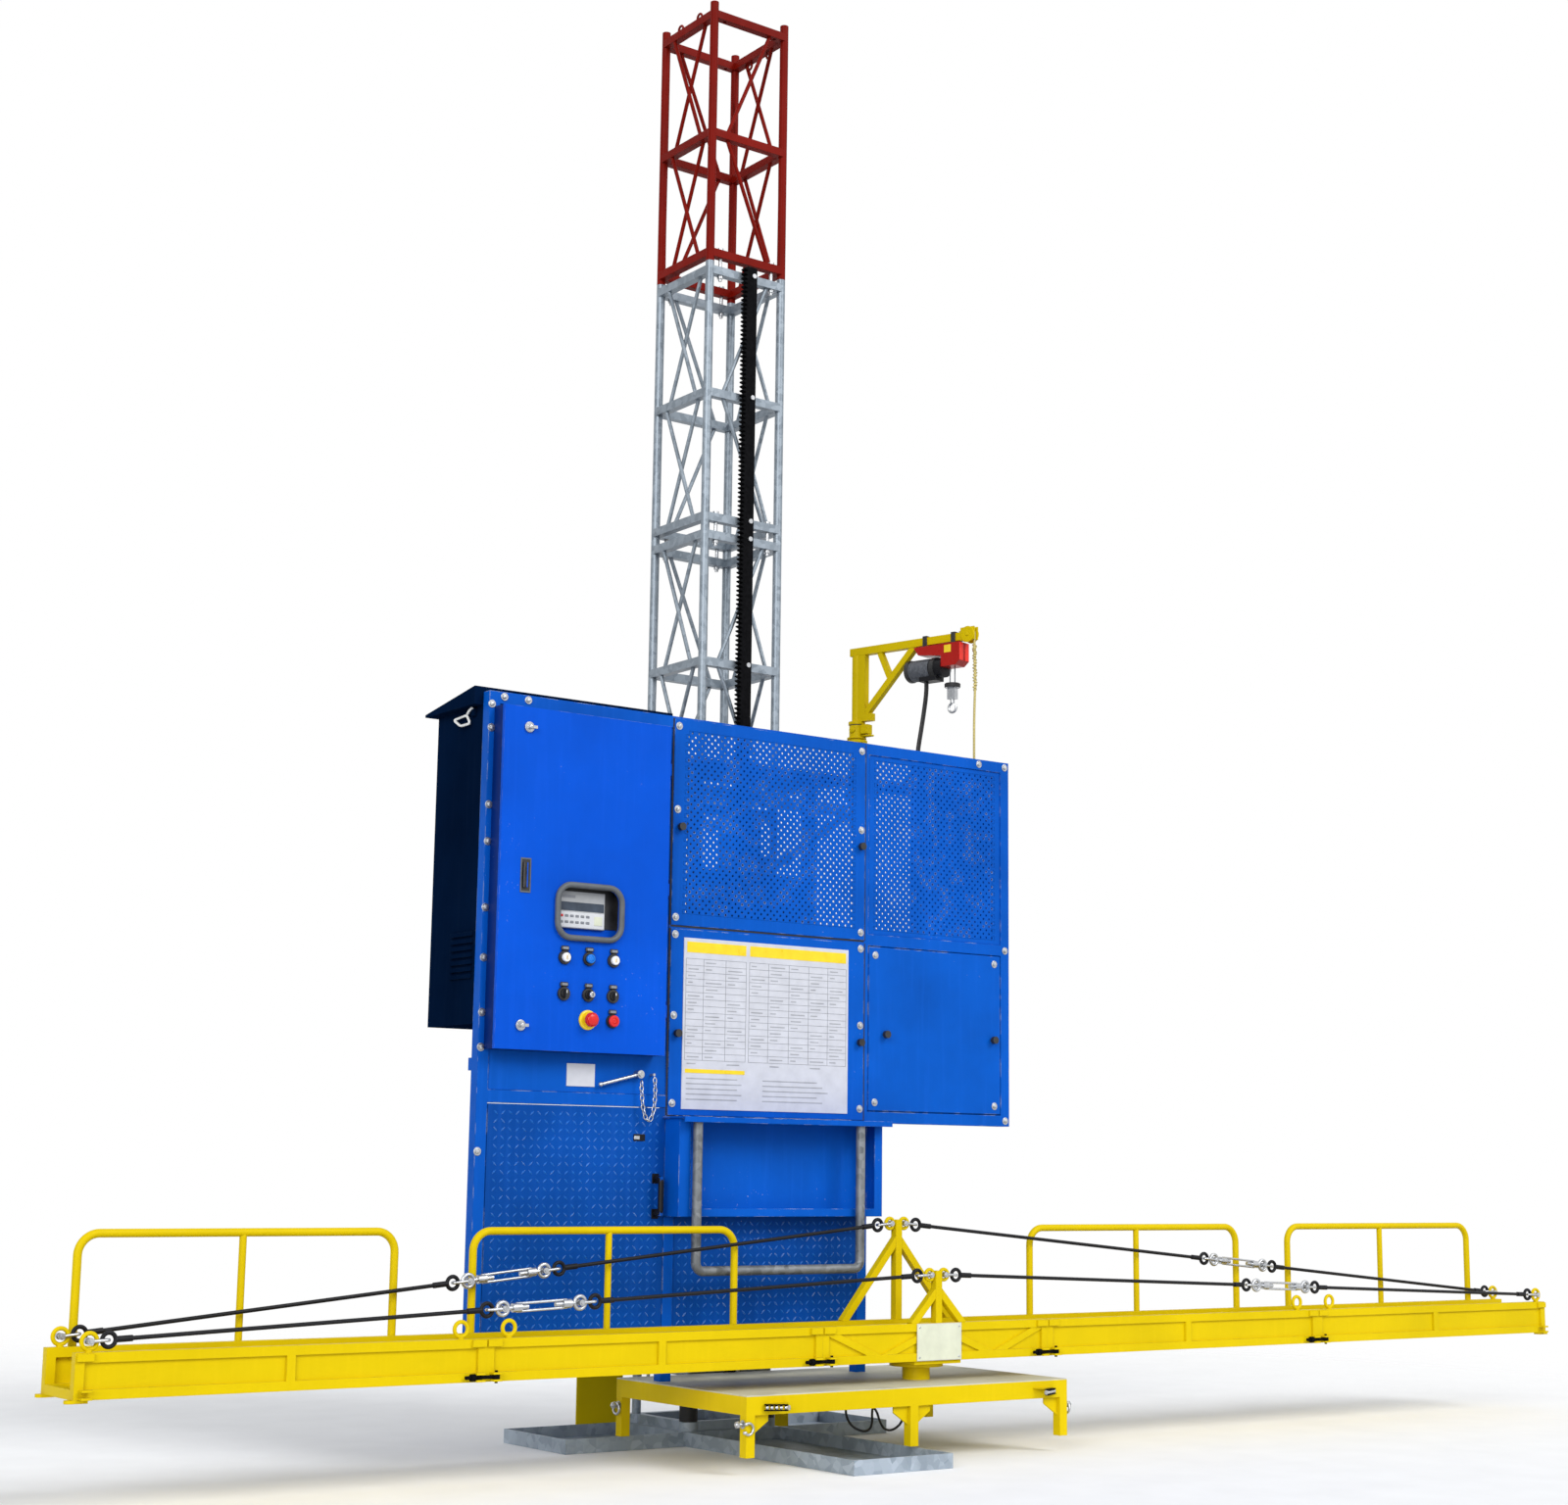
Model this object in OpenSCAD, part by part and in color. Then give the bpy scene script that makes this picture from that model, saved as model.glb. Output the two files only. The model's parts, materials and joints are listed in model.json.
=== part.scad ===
// Material hoist: a lattice mast on a ground base, a rack-driven carriage with its
// machine house, a low loading deck and a stayed trough beam carried in front.
// Millimetres, +Z up, the mast axis stands on the origin, the house faces -Y.

/* [Mast] */
// distance between the centre lines of neighbouring mast legs
mast_w = 488; // [440:2:560]
// outside diameter of a mast leg tube
leg_d = 48; // [42:1:56]
// wall of a mast leg tube
leg_wall = 4; // [3:0.5:6]
// side of the square rails in a mast section
rail_s = 46; // [36:1:46]
// diameter of the diagonal rods
diag_d = 22; // [16:1:22]
// tooth module of the rack and its pinion
rack_module = 8; // [7:0.5:9]
// rack teeth on one mast section
rack_teeth = 60; // [52:1:64]
// height of the lowest mast joint above ground
foot_h = 316; // [290:2:360]

/* [Base] */
// height of the outrigger frames
tub_h = 70; // [60:2:90]
// reach of the side outriggers from the mast axis
tub_side = 1010; // [800:10:1200]
// reach of the front outrigger from the mast axis
tub_front = 1690; // [1500:10:1900]
// width of an outrigger frame
tub_w = 600; // [560:10:680]

/* [Carriage] */
// diameter of the guide rollers
roller_d = 80; // [60:2:100]
// pinion teeth
pinion_teeth = 15; // [13:1:17]
// space between the carriage ring and the front of the house
drive_depth = 220; // [210:2:260]

/* [House] */
// left edge of the house from the mast axis
house_left = 1763; // [1700:5:1850]
// right edge of the house from the mast axis
house_right = 1595; // [1560:5:1700]
// top of the house frame
house_top = 3675; // [3640:5:3760]
// lower edge of the lower left part
house_low = 500; // [480:5:540]
// lower edge of the right wing
wing_low = 1640; // [1600:5:1700]
// side of the square frame tubes
frame_s = 60; // [50:2:70]
// depth of the control box in front of the house
box_depth = 80; // [78:2:110]

/* [Deck] */
// top of the loading deck
deck_z = 360; // [340:2:380]
// left edge of the deck from the mast axis
deck_left = 745; // [720:5:820]
// right edge of the deck from the mast axis
deck_right = 1262; // [1200:5:1400]
// front edge of the deck from the mast axis
deck_front = 1450; // [1420:5:1550]
// height of the deck edge boards
deck_board = 85; // [70:1:100]

/* [Beam] */
// middle of the beam from the mast axis
beam_x = 555; // [500:5:600]
// length of the middle section
mid_len = 1462; // [1400:2:1520]
// length of each of the two left sections
left_len = 1853; // [1700:1:2000]
// length of each of the two right sections
right_len = 2067; // [1900:1:2200]
// width of the trough
beam_w = 360; // [320:2:400]
// height of the trough walls
beam_h = 184; // [170:2:220]
// height of the guard rails above the trough
guard_h = 470; // [420:5:520]
// height of the tall king post above the trough
king_back_h = 500; // [460:5:520]
// height of the low king post above the trough
king_front_h = 255; // [220:5:280]
// diameter of the stay rods
stay_d = 18; // [14:1:22]

/* [Jib] */
// jib post from the mast axis to the right
jib_x = 1240; // [1200:5:1280]
// jib post from the mast axis to the back
jib_y = 300; // [290:5:310]
// reach of the jib arm to its tip pulley
jib_reach = 810; // [780:5:820]
// plan angle of the jib arm at rest
jib_angle = -75.6; // [-80:0.2:-70]
// underside of the jib arm
jib_z = 4398; // [4380:2:4420]

/* [Hidden] */
$fn = 48;
// running and sliding gaps
run_gap = 0.05;
free_gap = 0.3;
joint_gap = 0.2;
// mast
hw = mast_w / 2;
leg_r = leg_d / 2;
pitch = PI * rack_module;
section_h = pitch * rack_teeth;
rack_sections = 4;
ring_off = 50;
top_stub = 25;
rail_r = rail_s / 2;
diag_in = 95;
bolt_in = 70;
mast_bolt = 20;
rack_bolt = 16;
lift_ring = 44;
ring_at = 95;
spigot_deep = 150;
foot_ring = 25;
// rack and pinion, the pitch line lies left of the mast axis
rack_line = -40;
rack_back = 34;
rack_bolt_x = 10;
rack_t = 40;
rack_y = -hw - rail_r - 1;
rack_slot = 0.25;
pinion_r = rack_module * pinion_teeth / 2;
pinion_n = floor((2640 - foot_h) / pitch);
pinion_z = foot_h + (pinion_n + 0.5) * pitch;
pinion_x = rack_line - pinion_r;
pinion_w = 34;
shaft_d = 50;
// carriage rings
roller_r = roller_d / 2;
roller_y = hw + leg_r + free_gap + roller_r;
roller_w = 40;
flange_in = leg_r + 0.5;
flange_t = 12;
flange_r = roller_r + 11;
axle_d = 24;
cheek_t = 10;
ring_in = hw + leg_r + roller_d + 12;
ring_s = 60;
ring_out = ring_in + ring_s;
side_in = hw + leg_r + 72;
side_out = side_in + ring_s;
ring_h = 80;
ring_low = 1830;
ring_high = house_top - 255;
// house
front = -(ring_out + drive_depth);
back = front + frame_s;
sheet = 6;
sheet_y = front + 6;
seam = 4;
strip = 30;
leaf = 20;
post_1 = -685;
post_2 = 533;
x_left = -house_left;
x_right = house_right;
mid_rail = 2580;
left_rail = wing_low + 50;
tray_rail = wing_low - 50;
girt_t = 30;
// control box
box_x0 = x_left + 30;
box_x1 = post_1 - 80;
box_z0 = wing_low + 300;
box_z1 = house_top - 78;
box_y = front - box_depth;
box_wall = 4;
door_y = box_y - leaf;
// hinges
knuckle_d = 12;
knuckle_h = 60;
pin_d = 6;
hinge_out = knuckle_d / 2 + free_gap;
// side box behind the left wing
side_deep = 450;
side_low = wing_low + 420;
roof_rise = 26;
roof_fall = 52;
roof_over = 50;
louvre_w = 210;
// flange bolts of the left post, heights above the wing's lower rail
flange_bolts = [-181, 309, 474, 735, 975, 1295, 1474, 1852, 1969];
// blank plates
note_plate_x = -1186;
note_plate_w = 160;
beam_plate_w = 285;
// tray and step bar
tray_x0 = post_1 - 3;
tray_x1 = post_2 + 60;
tray_z0 = wing_low - 483;
tray_z1 = wing_low + 6;
tray_deep = 130;
tray_wall = 8;
tray_lip = 28;
step_d = 48;
step_y = front - 160;
step_x0 = tray_x0 + 90;
step_x1 = tray_x1 - 167;
step_z = tray_z0 - 262;
step_bend = 42;
// deck
deck_back = -(ring_in - 20);
deck_tube = 50;
plate_t = 5;
leg_low = 80;
gusset = 90;
ped_d = 140;
// beam
beam_back = front - 280;
beam_front = beam_back - beam_w;
beam_z = 462;
beam_top = beam_z + beam_h;
chord = 40;
recess = 12;
skin = 4;
x_mid0 = beam_x - mid_len / 2;
x_mid1 = beam_x + mid_len / 2;
x_end0 = x_mid0 - 2 * left_len;
x_end1 = x_mid1 + 2 * right_len;
chord_back = beam_back - chord / 2;
chord_front = beam_front + chord / 2;
guard_d = 36;
guard_y = beam_back + 30;
guard_bend = 90;
swing_d = 20;
lug_t = 36;
lug_w = 44;
swing_pin = 14;
eye_d = 64;
eye_wire = 18;
end_eye_in = 60;
end_eye_z = beam_top + 42;
// stays
king_eye = 46;
king_eye_d = 52;
link_r = 16;
link_s = 48;
link_wire = 2 * (link_r - eye_wire / 2 - free_gap);
link_pin = 14;
link_len = link_s + 2 * link_r;
rod_eye_d = 56;
screw_d = 20;
tb_span = 560;
tb_len = 260;
tb_boss = 40;
tb_bar = 12;
tb_at = 0.52;
tb_grip = 60;
// jib
jib_tube = 60;
socket_wall = 12;
socket_top = jib_z - 415;
arm_w = 42;
arm_h = 46;
tip_d = 70;
tip_w = 24;
motor_drop = 142;
box_drop = 74;
drop_at = 690;
rope_d = 6;
gland_r = 70;
gland_d = 50;
gland_z = jib_z - motor_drop - box_drop - 622;
rope_gap = 34;
rope_top = jib_z - 150;
hook_top = rope_top - 95;
// cords, route points in the jib's own frame and in the shared frame
tag_rope_d = 14;
tag_rope_pts = [[-70, 0, 24.5], [-40, 0, 25], [-20, 0, 29], [0, 0, 33.3], [12.7, 0, 30.8], [23.5, 0, 23.5],
    [30.8, 0, 12.7], [33.3, 0, 0], [33.3, 0, -60], [34, 1, -127], [35, 3, -227], [34, 4, -327], [32, 2, -427],
    [31, 0, -527], [32, -2, -627], [33, -3, -727], [34, 0, -867]];
hoist_cable_d = 14;
hoist_cable_pts = [[0, 0, -0.3], [0, 0, -45], [4, -12, -100], [16, -42, -170], [34, -84, -250],
    [54, -130, -330], [74, -176, -410], [88, -208, -480], [88, -222, -540], [62, -224, -590], [8, -208, -622],
    [-70, -176, -634], [-160, -134, -632], [-250, -88, -626], [-330, -42, -622], [-395, 0, -622],
    [-430, 20, -622], [-449.7, 20, -622]];
deck_cable_d = 12;
deck_cable_pts = [[150, -1050, -0.3], [150, -1050, -70], [165, -1075, -120], [200, -1110, -145],
    [240, -1120, -140], [270, -1105, -110], [290, -1080, -70], [320, -1050, -45], [360, -1030, -70],
    [390, -1020, -120], [420, -1020, -155], [460, -1030, -160], [500, -1045, -130], [525, -1050, -70],
    [525, -1050, -0.3]];

// simple solids placed by their limits
module bx(x0, x1, y0, y1, z0, z1) {
    translate([x0, y0, z0]) cube([x1 - x0, y1 - y0, z1 - z0]);
}
module rod_x(x0, x1, y, z, d) {
    translate([x0, y, z]) rotate([0, 90, 0]) cylinder(h = x1 - x0, d = d);
}
module rod_y(x, y0, y1, z, d) {
    translate([x, y0, z]) rotate([-90, 0, 0]) cylinder(h = y1 - y0, d = d);
}
module rod_z(x, y, z0, z1, d) {
    translate([x, y, z0]) cylinder(h = z1 - z0, d = d);
}
module rod(p, q, d) {
    v = q - p;
    translate(p) rotate([0, acos(v[2] / norm(v)), atan2(v[1], v[0])]) cylinder(h = norm(v), d = d);
}
// square bar between two points of one XZ plane
module bar_xz(x0, z0, x1, z1, y0, y1, s) {
    a = atan2(z1 - z0, x1 - x0);
    n = norm([x1 - x0, z1 - z0]);
    translate([x0, y0, z0]) rotate([0, -a, 0]) translate([0, 0, -s / 2]) cube([n, y1 - y0, s]);
}
// ring standing in the XZ plane, d is the diameter of its wire's centre line
module eye_xz(x, y, z, d, wire) {
    translate([x, y, z]) rotate([90, 0, 0]) rotate_extrude() translate([d / 2, 0]) circle(d = wire);
}
module both_x() {
    children();
    mirror([1, 0, 0]) children();
}
module both_y() {
    children();
    mirror([0, 1, 0]) children();
}

// round cord along a list of points
function unit(v) = v / norm(v);
function tangent(p, i) = unit(p[min(i + 1, len(p) - 1)] - p[max(i - 1, 0)]);
module cord(p, d, sides = 8) {
    n = len(p);
    pts = [for (i = [0:n - 1]) let (t = tangent(p, i), u = unit(cross(t, [0.3, 1, 0.1])), w = cross(t, u))
        for (k = [0:sides - 1]) p[i] + d / 2 * (cos(360 * k / sides) * u + sin(360 * k / sides) * w)];
    walls = [for (i = [0:n - 2]) for (k = [0:sides - 1])
        let (m = (k + 1) % sides, a = i * sides, b = a + sides)
        for (f = [[a + k, b + k, b + m], [a + k, b + m, a + m]]) f];
    first = [for (k = [0:sides - 1]) k];
    last = [for (k = [0:sides - 1]) (n - 1) * sides + sides - 1 - k];
    polyhedron(points = pts, faces = concat([first], walls, [last]));
}

// one mast section standing at z, bare of its rack
module mast_ring(z) {
    both_y() bx(-hw, hw, hw - rail_r, hw + rail_r, z - rail_r, z + rail_r);
    both_x() bx(hw - rail_r, hw + rail_r, -hw, hw, z - rail_r, z + rail_r);
}
module mast_braces(z0, z1) {
    d = diag_d / 2 + joint_gap;
    zm = (z0 + z1) / 2;
    span = hw - diag_in;
    both_x() for (b = [[z0, zm], [zm, z1]]) {
        rod([hw + d, -span, b[0]], [hw + d, span, b[1]], diag_d);
        rod([hw - d, span, b[0]], [hw - d, -span, b[1]], diag_d);
    }
    rod([span, -hw, z1], [-span, -hw, zm], diag_d);
    rod([-span, -hw, zm], [span, -hw, z0], diag_d);
    rod([-span, hw, z1], [span, hw, zm], diag_d);
    rod([span, hw, zm], [-span, hw, z0], diag_d);
}
module ring_holes(z) {
    both_x() both_y() rod_z(hw - bolt_in, hw, z - rail_r - 1, z + rail_r + 1, mast_bolt + 2);
}
module mast_section(z, stub, racked) {
    zt = z + section_h;
    rings = [z + ring_off, z + section_h / 2, zt - ring_off];
    difference() {
        union() {
            both_x() both_y() rod_z(hw, hw, z + joint_gap, zt - joint_gap + stub, leg_d);
            for (r = rings) mast_ring(r);
            mast_braces(rings[0], rings[2]);
        }
        both_x() both_y() rod_z(hw, hw, z - 1, zt + stub + 1, leg_d - 2 * leg_wall);
        ring_holes(rings[0]);
        ring_holes(rings[2]);
        if (racked) for (r = rings) rod_y(rack_bolt_x, -hw - rail_r - 1, -hw, r, rack_bolt + 1);
    }
}
module mast_sections() {
    color("silver") for (i = [0:rack_sections - 1]) mast_section(foot_h + i * section_h, 0, true);
}
module mast_top() {
    z = foot_h + rack_sections * section_h;
    zr = z + section_h - ring_off + rail_r;
    zt = z + section_h + top_stub - joint_gap;
    color("darkred") difference() {
        union() {
            mast_section(z, top_stub, false);
            for (y = [-ring_at, ring_at]) {
                lift_loop(-hw, y, zr + lift_ring / 2 - 4);
                lift_loop(hw, y, zr - rail_s - lift_ring / 2 + 4);
            }
        }
        both_x() both_y() rod_z(hw, hw, zt - spigot_deep, zt + 1, leg_d - 2 * leg_wall + 2);
    }
}
module lift_loop(x, y, z) {
    translate([x, y, z]) rotate([0, 90, 0]) rotate_extrude() translate([lift_ring / 2, 0]) circle(d = 13);
}

// rack bars, one to a section, teeth towards -X
function rack_tooth(i) = let (c = (i + 0.5) * pitch, a = rack_module, d = 1.25 * rack_module,
    s = tan(20), h = pitch / 4 - rack_slot)
    [[rack_line + d, c - h - d * s], [rack_line - a, c - h + a * s],
     [rack_line - a, c + h - a * s], [rack_line + d, c + h + d * s]];
module rack_bar() {
    body = [[rack_back, section_h - joint_gap], [rack_back, joint_gap]];
    teeth = [for (i = [0:rack_teeth - 1]) for (p = rack_tooth(i)) p];
    ends = [[rack_line + 1.25 * rack_module, joint_gap]];
    tops = [[rack_line + 1.25 * rack_module, section_h - joint_gap]];
    difference() {
        translate([0, rack_y, 0]) rotate([90, 0, 0]) linear_extrude(rack_t)
            polygon(concat(ends, teeth, tops, body));
        for (z = [ring_off, section_h / 2, section_h - ring_off])
            rod_y(rack_bolt_x, rack_y - rack_t - 1, rack_y + 1, z, rack_bolt + 1);
    }
}
module rack() {
    color("dimgray") for (i = [0:rack_sections - 1]) translate([0, 0, foot_h + i * section_h]) rack_bar();
}

// joint bolts through the paired rails and rack bolts into the front rails
module mast_bolts() {
    color("silver") {
        for (i = [0:rack_sections]) {
            z = foot_h + i * section_h;
            grip = ring_off + rail_r;
            both_x() both_y() {
                rod_z(hw - bolt_in, hw, z - grip - 30, z + grip + 4, mast_bolt);
                rod_z(hw - bolt_in, hw, z + grip, z + grip + 14, mast_bolt + 14);
                rod_z(hw - bolt_in, hw, z - grip - 16, z - grip, mast_bolt + 14);
            }
        }
        for (i = [0:rack_sections - 1]) for (r = [ring_off, section_h / 2, section_h - ring_off]) {
            z = foot_h + i * section_h + r;
            rod_y(rack_bolt_x, rack_y - rack_t - 5, -hw - 2, z, rack_bolt);
            rod_y(rack_bolt_x, rack_y - rack_t - 10, rack_y - rack_t, z, rack_bolt + 10);
        }
    }
}

// ground base
module tub(x0, x1, y0, y1) {
    wall = 10;
    floor_t = 8;
    difference() {
        bx(x0, x1, y0, y1, 0, tub_h);
        bx(x0 + wall, x1 - wall, y0 + wall, y1 - wall, floor_t, tub_h + 1);
    }
}
module base_outriggers() {
    core = tub_w / 2;
    color("lightslategray") {
        tub(-tub_side, -core, -core, core);
        tub(core, tub_side, -core, core);
        tub(-core, core, -tub_front, -core);
    }
}
module base_foot() {
    core = tub_w / 2;
    sill = 60;
    z_top = foot_h - ring_off;
    z_low = tub_h + rail_r;
    color("lightslategray") difference() {
        union() {
            both_x() bx(core - sill, core, -core, core, 0, tub_h);
            both_y() bx(-core, core, core - sill, core, 0, tub_h);
            both_x() both_y() {
                bx(hw - sill, core, hw - sill, core, 0, tub_h);
                rod_z(hw, hw, 0, foot_h - joint_gap, leg_d);
                rod_z(hw, hw, tub_h - 1, tub_h + rail_s - 1, leg_d + 2 * foot_ring);
            }
            bx(1 - core, core - 1, 1 - core, core - 1, 0, 8);
            mast_ring(z_top);
            mast_ring(z_low);
        }
        both_x() both_y() rod_z(hw, hw, tub_h, foot_h + 1, leg_d - 2 * leg_wall);
        ring_holes(z_top);
    }
}
module foot_collars() {
    z0 = tub_h + rail_s + 1;
    z1 = foot_h - ring_off - rail_r - 1;
    color("black") both_x() difference() {
        rod_z(hw, -hw, z0, z1, leg_d + 46);
        rod_z(hw, -hw, z0 - 1, z1 + 1, leg_d + 0.4);
    }
}
module cable_guard() {
    x0 = -tub_side + 425;
    x1 = -hw - leg_r - foot_ring - 10;
    y = tub_w / 2 - 10;
    t = 8;
    color("gold") {
        bx(x0, x1, y, y + t, tub_h, house_low - 10);
        for (x = [x0 + 60, x1 - 68]) bx(x, x + t, y, y + 50, tub_h, house_low - 60);
    }
}

// carriage: two rings round the mast joined by columns, roller brackets and the jib socket
module ring_frame(z) {
    both_y() bx(-side_out, side_out, ring_in, ring_out, z, z + ring_h);
    both_x() bx(side_in, side_out, -ring_out, ring_out, z, z + ring_h);
}
// bracket of a roller on the leg at +X, reaching from the ring bar at -Y
module roller_bracket(z) {
    for (x = [hw - roller_w / 2 - 4 - cheek_t, hw + flange_in + flange_t + 4])
        bx(x, x + cheek_t, -ring_in, -roller_y + 16, z - 32, z + 32);
    rod_x(hw - roller_w / 2 - 4 - cheek_t, hw + flange_in + flange_t + 4 + cheek_t, -roller_y, z, axle_d);
}
module back_bearing(z) {
    for (x = [hw - roller_w / 2 - 4 - cheek_t, hw + flange_in + flange_t + 4]) difference() {
        bx(x, x + cheek_t, roller_y - 18, ring_in, z - 32, z + 32);
        rod_x(x - 1, x + cheek_t + 1, roller_y, z, axle_d + 2 * run_gap);
    }
}
module guide_pad(z) {
    bx(hw - roller_w / 2, hw + roller_w / 2, -ring_in, -hw - leg_r - 1, z - 25, z + 25);
}
module carriage_frame() {
    zl = ring_low + ring_h / 2;
    zu = ring_high + ring_h / 2;
    plate_y = -ring_in - 32;
    color("slategray") {
        ring_frame(ring_low);
        ring_frame(ring_high);
        both_x() both_y() bx(side_in, side_out, ring_in, ring_out, ring_low, ring_high);
        both_x() bx(side_in, side_out, jib_y - 30, jib_y + 30, ring_low, ring_high);
        both_x() roller_bracket(zl);
        both_x() back_bearing(zu);
        both_x() guide_pad(zu);
        both_x() mirror([0, 1, 0]) guide_pad(zl);
        both_x() for (z = [zl, zu]) bx(side_in, side_out, back + girt_t, -ring_out, z - 30, z + 30);
        difference() {
            bx(-side_in, side_in, plate_y, plate_y + 20, pinion_z - 260, pinion_z + 300);
            rod_y(pinion_x, plate_y - 1, plate_y + 21, pinion_z, shaft_d + 2 * run_gap);
        }
        difference() {
            union() {
                rod_z(jib_x, jib_y, ring_high - 60, socket_top, jib_tube + 2 * socket_wall);
                bx(side_out, jib_x, jib_y - 25, jib_y + 25, ring_high + 10, ring_high + 70);
                bar_xz(side_out, ring_high - 500, jib_x - 60, ring_high + 30, jib_y - 20, jib_y + 20, 40);
                rod_z(jib_x, jib_y, socket_top - 110, socket_top - 95, jib_tube + 60);
                at_jib() rod_z(0, 0, gland_z - gland_d / 2, gland_z + gland_d / 2, 2 * gland_r);
            }
            rod_z(jib_x, jib_y, ring_high - 40, socket_top + 1, jib_tube + 2 * run_gap);
        }
    }
}
module drive_unit() {
    y1 = -ring_in - 32;
    y0 = y1 - 168;
    ym = (y0 + y1) / 2 + 4;
    z = pinion_z;
    color("steelblue") difference() {
        union() {
            bx(pinion_x - 120, pinion_x + 120, y0, y1, z - 110, z + 110);
            rod_z(pinion_x, ym, z + 100, z + 500, 150);
            rod_z(pinion_x, ym, z + 110, z + 130, 160);
            for (k = [0:9]) rod_z(pinion_x, ym, z + 150 + 28 * k, z + 160 + 28 * k, 160);
            rod_z(pinion_x, ym, z + 500, z + 580, 160);
            bx(pinion_x + 60, pinion_x + 130, ym - 50, ym + 50, z + 220, z + 380);
        }
        rod_y(pinion_x, y1 - 60, y1 + 1, z, shaft_d + 2 * run_gap);
    }
}

// pinion with involute flanks, a gap between two teeth faces the rack
function flank(t) = let (rb = pinion_r * cos(20)) [rb * sqrt(1 + t * t), (t - atan(t) * PI / 180) * 180 / PI];
function polar(r, a) = [r * cos(a), r * sin(a)];
module pinion_teeth_2d() {
    rb = pinion_r * cos(20);
    ro = pinion_r + rack_module;
    ri = pinion_r - 1.25 * rack_module;
    t1 = sqrt(ro * ro / (rb * rb) - 1);
    half = 90 / pinion_teeth + (tan(20) * 180 / PI - 20) - 0.25;
    n = 5;
    pts = [for (i = [0:pinion_teeth - 1]) let (a = (i + 0.5) * 360 / pinion_teeth)
        concat([polar(ri, a - half)],
            [for (k = [0:n]) let (f = flank(t1 * k / n)) polar(f[0], a - half + f[1])],
            [for (k = [n:-1:0]) let (f = flank(t1 * k / n)) polar(f[0], a + half - f[1])],
            [polar(ri, a + half)])];
    polygon([for (p = pts) for (q = p) q]);
}
module drive_pinion() {
    y = rack_y - rack_t / 2;
    color("gray") {
        translate([pinion_x, y + pinion_w / 2, pinion_z]) rotate([90, 0, 0]) linear_extrude(pinion_w)
            pinion_teeth_2d();
        rod_y(pinion_x, -ring_in - 32 - 55, y, pinion_z, shaft_d);
    }
}

// flanged guide rollers, s is the side of the mast
module roller_body(s) {
    rod_x(-roller_w / 2, roller_w / 2, 0, 0, roller_d);
    x0 = s > 0 ? flange_in : -flange_in - flange_t;
    rod_x(x0, x0 + flange_t, 0, 0, 2 * flange_r);
    rod_x(s > 0 ? 0 : -flange_in - 1, s > 0 ? flange_in + 1 : 0, 0, 0, roller_d - 8);
}
module front_roller(s) {
    color("dimgray") translate([s * hw, -roller_y, ring_low + ring_h / 2]) difference() {
        roller_body(s);
        rod_x(-flange_in - flange_t - 1, flange_in + flange_t + 1, 0, 0, axle_d + 2 * run_gap);
    }
}
module roller_left() { front_roller(-1); }
module roller_right() { front_roller(1); }
module roller_back() {
    end = hw + flange_in + flange_t + 4 + cheek_t;
    color("dimgray") translate([0, roller_y, ring_high + ring_h / 2]) {
        for (s = [-1, 1]) translate([s * hw, 0, 0]) roller_body(s);
        rod_x(-end, end, 0, 0, axle_d);
    }
}

// house: tube frame, sheets, doors and boxes
module house_frame() {
    s = frame_s;
    p1 = post_1 + s;
    p2 = post_2 + s;
    zl = ring_low + ring_h / 2;
    zu = ring_high + ring_h / 2;
    color("royalblue") {
        bx(x_left, x_left + s, front, back, house_low, house_top);
        bx(post_1, p1, front, back, deck_z, house_top);
        bx(post_2, p2, front, back, deck_z, house_top);
        bx(x_right - s, x_right, front, back, wing_low, house_top);
        bx(x_left, x_right, front, back, house_top - s, house_top);
        bx(post_1, x_right, front, back, mid_rail, mid_rail + s);
        bx(post_2, x_right, front, back, wing_low, wing_low + s);
        bx(x_left, p1, front, back, left_rail, left_rail + s);
        bx(post_1, p2, front, back, tray_rail, tray_rail + s);
        bx(x_left, p2, front, back, house_low, house_low + s);
        bx(x_left, x_right, back, back + girt_t, zl - 30, zl + 30);
        bx(post_1 + 30, x_right, back, back + girt_t, zu - 30, zu + 30);
        difference() {
            bx(p2 - 1, x_right - s + 1, front + leaf, front + leaf + 6, wing_low + s - 1, mid_rail + 1);
            bx(p2 + strip, x_right - s - strip, front, back, wing_low + s + strip, mid_rail - strip);
        }
    }
}
// sheets let into the frame, covers screwed on the face of its tubes and a hatch on stop strips
module fixed_sheet(x0, x1, z0, z1) {
    bx(x0, x1, sheet_y, sheet_y + sheet, z0, z1);
}
cover_t = 5;
cover_x0 = post_1 + 5;
cover_x1 = post_2 + frame_s / 2;
vent_z0 = mid_rail + 25;
vent_z1 = house_top - 8;
note_z0 = tray_rail + frame_s + 2;
note_z1 = mid_rail + 8;
hatch_x0 = post_2 + frame_s + seam;
hatch_x1 = x_right - frame_s - seam;
hatch_z0 = wing_low + frame_s + seam;
hatch_z1 = mid_rail - seam;
module house_panels() {
    s = frame_s;
    rim = 16;
    color("royalblue") {
        bx(cover_x0, cover_x1, front - cover_t, front, vent_z0, vent_z1);
        bx(cover_x0, cover_x1, front - cover_t, front, note_z0, note_z1);
        difference() {
            bx(hatch_x0, hatch_x1, front, front + leaf, hatch_z0, hatch_z1);
            bx(hatch_x0 + rim, hatch_x1 - rim, front + 4, front + leaf + 1, hatch_z0 + rim, hatch_z1 - rim);
        }
        fixed_sheet(post_2 + s, x_right - s, mid_rail + s, house_top - s);
        bx(post_2 + 6 * s, x_right - s, sheet_y + sheet + 0.6, sheet_y + sheet + 3,
            mid_rail + s, house_top - s);
        fixed_sheet(post_1 + s, post_2, house_low + s, tray_rail);
        fixed_sheet(x_left + s, post_1, left_rail + s, house_top - s);
    }
}
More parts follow.
